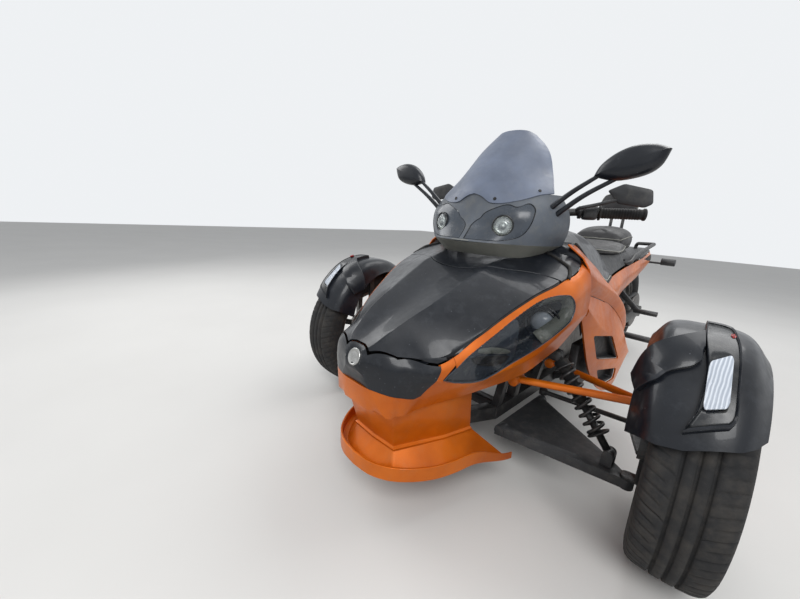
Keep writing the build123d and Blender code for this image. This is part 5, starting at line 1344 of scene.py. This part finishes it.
def swelled(mesh, held):
    """The mesh remeshed evenly and blown up a little; the points that held() names stay."""
    holder = placed("cushion", mesh)
    even = holder.modifiers.new("even", "REMESH")
    even.mode = "VOXEL"
    even.voxel_size = PAD_VOXEL * MM
    mesh = take_mesh(holder)
    rest = [vertex.co.copy() for vertex in mesh.vertices]
    holder = placed("cushion", mesh)
    group = holder.vertex_groups.new(name="held")
    group.add([i for i, p in enumerate(rest) if held(p)], 1.0, "REPLACE")
    cloth = holder.modifiers.new("cloth", "CLOTH")
    cloth.settings.use_pressure = True
    cloth.settings.uniform_pressure_force = PAD_PRESSURE
    cloth.settings.effector_weights.gravity = 0
    cloth.settings.vertex_group_mass = "held"
    cloth.point_cache.frame_start = 1
    cloth.point_cache.frame_end = PAD_FRAMES
    for number in range(1, PAD_FRAMES + 1):
        bpy.context.scene.frame_set(number)
    full = take_mesh(holder)
    bpy.context.scene.frame_set(1)
    for vertex, start in zip(full.vertices, rest):
        move = vertex.co - start
        if move.length > PAD_CAP * MM:
            vertex.co = start + move.normalized() * (PAD_CAP * MM)
    return full


def cushion(name, mesh, held, replaces, body, line):
    """A padded piece with a welt sewn along the line."""
    mesh = swelled(mesh, held)
    tree = BVHTree.FromPolygons([v.co for v in mesh.vertices], [tuple(f.vertices) for f in mesh.polygons])
    piece = add_piece(name, mesh, "seat_leather", replaces, body)
    smooth = piece.modifiers.new("smooth", "SUBSURF")
    smooth.levels = smooth.render_levels = 1
    path = []
    for point in line:
        near, normal, *_ = tree.find_nearest(point)
        path.append(near + normal * (WELT_LIFT * MM))
    add_piece(name + "_welt", tube_mesh(path, WELT_R, 8, closed=True), "cowl_chin", body=body)


def pad_size(sections, y):
    """Half the pad's width and the height of its top."""
    return smooth_at([row[0] for row in sections], [row[1:] for row in sections], y)


def pad_mesh(sections):
    first, last = sections[0][0], sections[-1][0]
    rings = []
    for y in steps(first + 2, last - 2, 30):
        half, top = pad_size(sections, y)
        ends = min(1.0, min(y - first, last - y) / PAD_END_RUN)
        share = math.sqrt(max(0.0, 1 - (1 - ends) ** 2))
        half = (half - 4) * (0.86 + 0.14 * share)
        tall = (top - 5 - SEAT_TOP_Z) * (0.72 + 0.28 * share)
        ring = []
        for a in circle(48):
            c, s = math.cos(a), math.sin(a)
            x = half * blunt(c, 0.62) * (1 if s > 0 else 1 - 0.1 * abs(s) ** 0.5)
            z = 0.45 + 0.55 * s ** 0.75 if s > 0 else 0.45 * (1 - abs(s) ** 0.4)
            ring.append(place(x, y, SEAT_TOP_Z + 1 + tall * z))
        rings.append(ring)
    return closed_mesh(rings)


def pad_line(sections, share, height, inset):
    """A closed line round the pad at a share of its half width and height."""
    first, last = sections[0][0] + inset, sections[-1][0] - inset
    line = []
    for y in steps(first, last, 24):
        half, top = pad_size(sections, y)
        line.append((half * share, y, SEAT_TOP_Z + (top - SEAT_TOP_Z) * height))
    (x0, _, z0), (x1, _, z1) = line[0], line[-1]
    back = [(x1 * s, last + 4, z1) for s in steps(0.9, -0.9, 12)]
    front = [(x0 * s, first - 4, z0) for s in steps(-0.9, 0.9, 12)]
    return [place(*p) for p in line + back + [(-x, y, z) for x, y, z in line[::-1]] + front]


def make_seat():
    for name, sections in (("rider_pad", RIDER_PAD), ("passenger_pad", PASSENGER_PAD)):
        cushion(name, pad_mesh(sections), lambda p: p.z < (SEAT_TOP_Z + 6) * MM, ["seat_pads"], "seat",
                pad_line(sections, 0.94, 0.62, 6))


REST_OUTLINE = [(76, 930), (104, 950), (112, 1000), (92, 1046), (50, 1058)]
REST_MIDDLE = (0, 996)
REST_FRONT_Y = 1475
REST_REAR_Y = 1499
REST_RINGS = [(REST_REAR_Y, 0.5), (REST_REAR_Y, 0.92), (REST_REAR_Y - 4, 0.98), (REST_REAR_Y - 12, 1.0),
              (REST_FRONT_Y + 8, 0.98), (REST_FRONT_Y + 4, 0.93), (REST_FRONT_Y + 1, 0.7), (REST_FRONT_Y, 0.4)]
REST_POST = ((33, 1492, 718), (33, 1506, 1000))


def make_backrest():
    half = [(x - 2, z) for x, z in REST_OUTLINE]
    outline = rounded_corners(half + [(-x, z) for x, z in half[::-1]], 16)
    line, = stacked(outline, [(REST_FRONT_Y + 6, 0.97)], REST_MIDDLE)
    cushion("backrest_pad", closed_mesh(stacked(outline, REST_RINGS, REST_MIDDLE)),
            lambda p: p.y > AXLE_Y + (REST_REAR_Y - 3) * MM, ["backrest"], "chassis", line)
    foot, top = (place(*p) for p in REST_POST)
    post = tube_mesh([foot, foot.lerp(top, 0.5), top], 9, 16)
    base = lathe_mesh([(-1.4, 18), (3, 18), (5, 15), (8, 11)], foot, top - foot, 28)
    both_sides("backrest_posts", joined(post, base), "black_steel", ["backrest"])


# Handlebar parts turn with the steering, which rests a little to the left
STEERING = JOINTS["steering"]
BAR_LINE = [(-392, 306, 895), (-190, 232, 890), (-96, 206, 878), (0, 210, 876), (96, 206, 878), (190, 232, 890),
            (392, 306, 895)]
BAR_R = 13
CLAMP = [(-46, -26), (46, -26), (52, -16), (52, 16), (46, 24), (-46, 24), (-52, 16), (-52, -16)]
CLAMP_RINGS = [(856, 0.86), (860, 1), (890, 1), (896, 0.9)]
GRIP_XS = (262, 392)
GRIP_R = 17
GRIP_RIBS = 14
POD_X = 215
POD_HALVES = (27, 25)
POD_BLUNT = 0.6
POD_RINGS = [(0, 0.8), (3, 0.95), (10, 1.0), (24, 1.0), (38, 0.98), (44, 0.9), (46, 0.75)]
POD_BUTTONS = [(14, 12, 5), (14, -4, 4), (30, 6, 6), (32, -10, 4)]
GUARD_OUTLINE = [(286, 962), (330, 984), (408, 966), (416, 925), (396, 912), (322, 922)]
GUARD_RINGS = [(217, 0.93), (217.5, 0.985), (214, 1.0), (209, 1.0), (206, 0.975), (203.5, 0.85), (202.5, 0.5),
               (202.3, 0.1)]
GUARD_ARM = [(207, 198, 898), (268, 206, 918), (334, 211, 938)]
GUARD_CLAMP = [(-6, 14), (-6, 20), (-4, 21.5), (4, 21.5), (6, 20), (6, 14)]


def add_steered(name, mesh, slot, replaces, **settings):
    """A handlebar piece, turned from straight ahead to where it rests."""
    at, axis = Vector(STEERING["pos_m"]), Vector(STEERING["axis"]).normalized()
    angle = STEER_REST if axis.z > 0 else -STEER_REST
    mesh.transform(Matrix.Translation(at) @ Matrix.Rotation(angle, 4, axis) @ Matrix.Translation(-at))
    add_piece(name, mesh, slot, replaces, "steering", **settings)


def bar_at(x):
    """The bar's middle line between its last bend and its end."""
    x0, x1 = BAR_LINE[-2][0], BAR_LINE[-1][0]
    return place(*between(*BAR_LINE[-2:], (x - x0) / (x1 - x0)))


def make_steering():
    column = lathe_mesh([(-370, 12), (-370, 16), (-20, 16), (-20, 12)], COLUMN_TOP, COLUMN_AXIS, 28)
    rings = [[place(x * s, 208 + y * s, z) for x, y in CLAMP] for z, s in CLAMP_RINGS]
    caps = [lathe_mesh([(-2, 9), (4, 9), (5, 7), (3, 5), (3, 1)], place(x, 200, 896), COLUMN_AXIS, 20)
            for x in (-30, 30)]
    bar = tube_mesh([place(*p) for p in open_curve(BAR_LINE, 8)], BAR_R, 20)
    add_steered("handlebar_skin", joined(bar, column, closed_mesh(rings), *caps), "black_steel", ["handlebar"],
                edge=1.0)
    start, end = (bar_at(x) for x in GRIP_XS)
    along = end - start
    ribs = [(0, 14), (0, 24), (3, 25), (6, 24), (7, GRIP_R)]
    length = along.length / MM
    for i in range(GRIP_RIBS):
        a = 12 + i * (length - 26) / GRIP_RIBS
        ribs += [(a, GRIP_R), (a + 1.2, GRIP_R + 1.1), (a + 4.4, GRIP_R + 1.1), (a + 5.6, GRIP_R)]
    ribs += [(length - 8, GRIP_R), (length - 6, GRIP_R + 3), (length, GRIP_R + 3), (length + 2, GRIP_R),
             (length + 3, 14), (length + 3, 2)]
    add_steered("grip_skin", doubled(lathe_mesh(ribs, start, along, 36)), "grip_rubber", ["grips"])
    make_pods(along.normalized())
    make_guards()


def make_pods(along):
    start = bar_at(POD_X)
    across = along.cross(UP).normalized()
    up = across.cross(along)

    def at(a, w, h):
        return start + along * (a * MM) + across * (w * MM) + up * (h * MM)

    wide, tall = POD_HALVES
    rings = [[at(a, wide * size * blunt(math.cos(turn), POD_BLUNT), tall * size * blunt(math.sin(turn), POD_BLUNT))
              for turn in circle(32)] for a, size in POD_RINGS]
    shells = [closed_mesh(rings)]
    for a, h, r in POD_BUTTONS:
        shells.append(lathe_mesh([(-3, r), (4, r), (5.5, r - 1), (5.5, 0.5)], at(a, -26, h), -across, 18))
    add_steered("switch_pod_skin", doubled(joined(*shells)), "dark_plastic", ["switch_pods"], edge=0.8)


def make_guards():
    blade = closed_mesh(stacked(rounded_corners(GUARD_OUTLINE, 8), GUARD_RINGS))
    root = bar_at(POD_X - 8)
    ring = lathe_mesh(GUARD_CLAMP, root, (bar_at(300) - root).normalized(), 28)
    path = open_curve([tuple(root + Vector((0, -0.014, 0)))] + [tuple(place(*p)) for p in GUARD_ARM])
    guard = joined(blade, ring, tube_mesh([Vector(p) for p in path], 6, 12))
    add_steered("hand_guard_skin", doubled(guard), "dark_plastic", ["hand_guards"], edge=1.2)


# Shocks: an eye at each end, a body, a rod and a coil spring between two seats
SHOCKS = [((490, 22, 196), (285, 60, 428), (0, 1, 0)), ((-490, 22, 196), (-285, 60, 428), (0, 1, 0)),
          ((0, 1222, 346), (0, 1134, 626), (1, 0, 0))]
SPRING_R = 25
WIRE_R = 5
SPRING_TURNS = 8
TURN_STEPS = 24
SPRING_RUN = (0.2, 0.86)
SHOCK_EYE = [(-13, 10), (-13, 14), (-12, 15), (12, 15), (13, 14), (13, 10)]


def shock_mesh(foot, top, across):
    a, b = place(*foot), place(*top)
    run, length = b - a, (b - a).length / MM
    across = Vector(across)
    low, high = (share * length for share in SPRING_RUN)
    stem = [(10, 11), (low - 10, 11), (low - 7, 20), (low - 6, 31), (low - 1, 33), (low, 31), (low + 2, 24),
            (low + 4, 11), (0.5 * length, 11), (0.5 * length, 18), (high - 4, 18), (high - 2, 26), (high, 31),
            (high + 1, 33), (high + 5, 33), (high + 6, 24), (length - 20, 22), (length - 16, 16), (length - 10, 10)]
    step = run.normalized()
    side = step.cross(across).normalized()
    axes = (step, side, step.cross(side))
    count = SPRING_TURNS * TURN_STEPS
    path = [round_point(a, axes, low + WIRE_R + (high - low - 2 * WIRE_R) * i / count, SPRING_R,
                        2 * math.pi * i / TURN_STEPS) for i in range(count + 1)]
    return joined(lathe_mesh(SHOCK_EYE, a, across, 28), lathe_mesh(SHOCK_EYE, b, across, 28),
                  lathe_mesh(stem, a, run, 40), tube_mesh(path, WIRE_R, 10))


# Carried-over nodes get the finish of their slot and softened edges
NODE_EDGE = 1.4
NODE_CORNER = 32
NODE_WELD = 0.02


def dress_nodes():
    for part in frame["record"]["subparts"]:
        node = frame["nodes"][part["node"]]
        paint_over(node.data, FINISHES[part["material_slot"]])
        weld = node.modifiers.new("weld", "WELD")
        weld.merge_threshold = NODE_WELD * MM
        add_edge(node, NODE_EDGE, 2, NODE_CORNER)


# Floor, light and background
FLOOR_REACH = 14.0
LAMPS = [("key", (2.2, -3.4, 3.4), (2.4, 2.0), 120), ("fill", (-3.4, -1.6, 2.6), (2.4, 2.0), 50),
         ("top", (0.4, 1.6, 4.0), (3.0, 3.0), 90)]
LAMPS_TARGET = Vector((0, -0.2, 0.5))


def make_stage():
    mesh = mesh_of([(x * FLOOR_REACH, y * FLOOR_REACH, 0) for x, y in ((-1, -1), (1, -1), (1, 1), (-1, 1))],
                   [(0, 1, 2, 3)])
    floor = placed("floor", mesh)
    pale = Finish("floor", Roughness=0.9, Specular_IOR_Level=0.1)
    pale.feed("Base Color", pale.mix(pale.noise(1.5, 3.0), (0.62, 0.61, 0.59, 1), (0.68, 0.67, 0.65, 1)))
    mesh.materials.append(pale.material)


def make_light():
    for name, at, size, watts in LAMPS:
        data = bpy.data.lights.new(name, "AREA")
        data.shape = "RECTANGLE"
        data.size, data.size_y = size
        data.energy = watts
        lamp = placed(name, data)
        lamp.location = at
        lamp.rotation_euler = (LAMPS_TARGET - Vector(at)).to_track_quat("-Z", "Y").to_euler()
    world = bpy.data.worlds.new("world")
    bpy.context.scene.world = world
    world.use_nodes = True
    tree = world.node_tree
    light, shown = tree.nodes["Background"], tree.nodes.new("ShaderNodeBackground")
    for node, colour, strength in ((light, (0.93, 0.96, 1.0, 1), 0.55), (shown, (0.86, 0.88, 0.90, 1), 1.0)):
        node.inputs["Color"].default_value = colour
        node.inputs["Strength"].default_value = strength
    path = tree.nodes.new("ShaderNodeLightPath")
    seen = path.outputs["Is Camera Ray"]
    for ray in ("Is Glossy Ray", "Is Transmission Ray"):
        either = tree.nodes.new("ShaderNodeMath")
        either.operation = "MAXIMUM"
        tree.links.new(seen, either.inputs[0])
        tree.links.new(path.outputs[ray], either.inputs[1])
        seen = either.outputs[0]
    choose = tree.nodes.new("ShaderNodeMixShader")
    for index, socket in enumerate((seen, light.outputs[0], shown.outputs[0])):
        tree.links.new(socket, choose.inputs[index])
    tree.links.new(choose.outputs[0], tree.nodes["World Output"].inputs["Surface"])
    bpy.context.scene.view_settings.view_transform = "Standard"


make_stage()
make_light()
dress_nodes()
make_hood()
make_cowl_neck()
make_nose()
make_front()
make_fairings()
make_headlamps()
make_cowl()
make_windscreen()
make_mirrors()
make_side_panels()
make_rear_panels()
make_fender(1, "left")
make_fender(-1, "right")
for tyre in TYRES:
    make_tyre(*tyre)
make_cover()
make_seat()
make_backrest()
make_steering()
add_piece("shock_skin", joined(*[shock_mesh(*shock) for shock in SHOCKS]), "black_steel", ["shocks"])
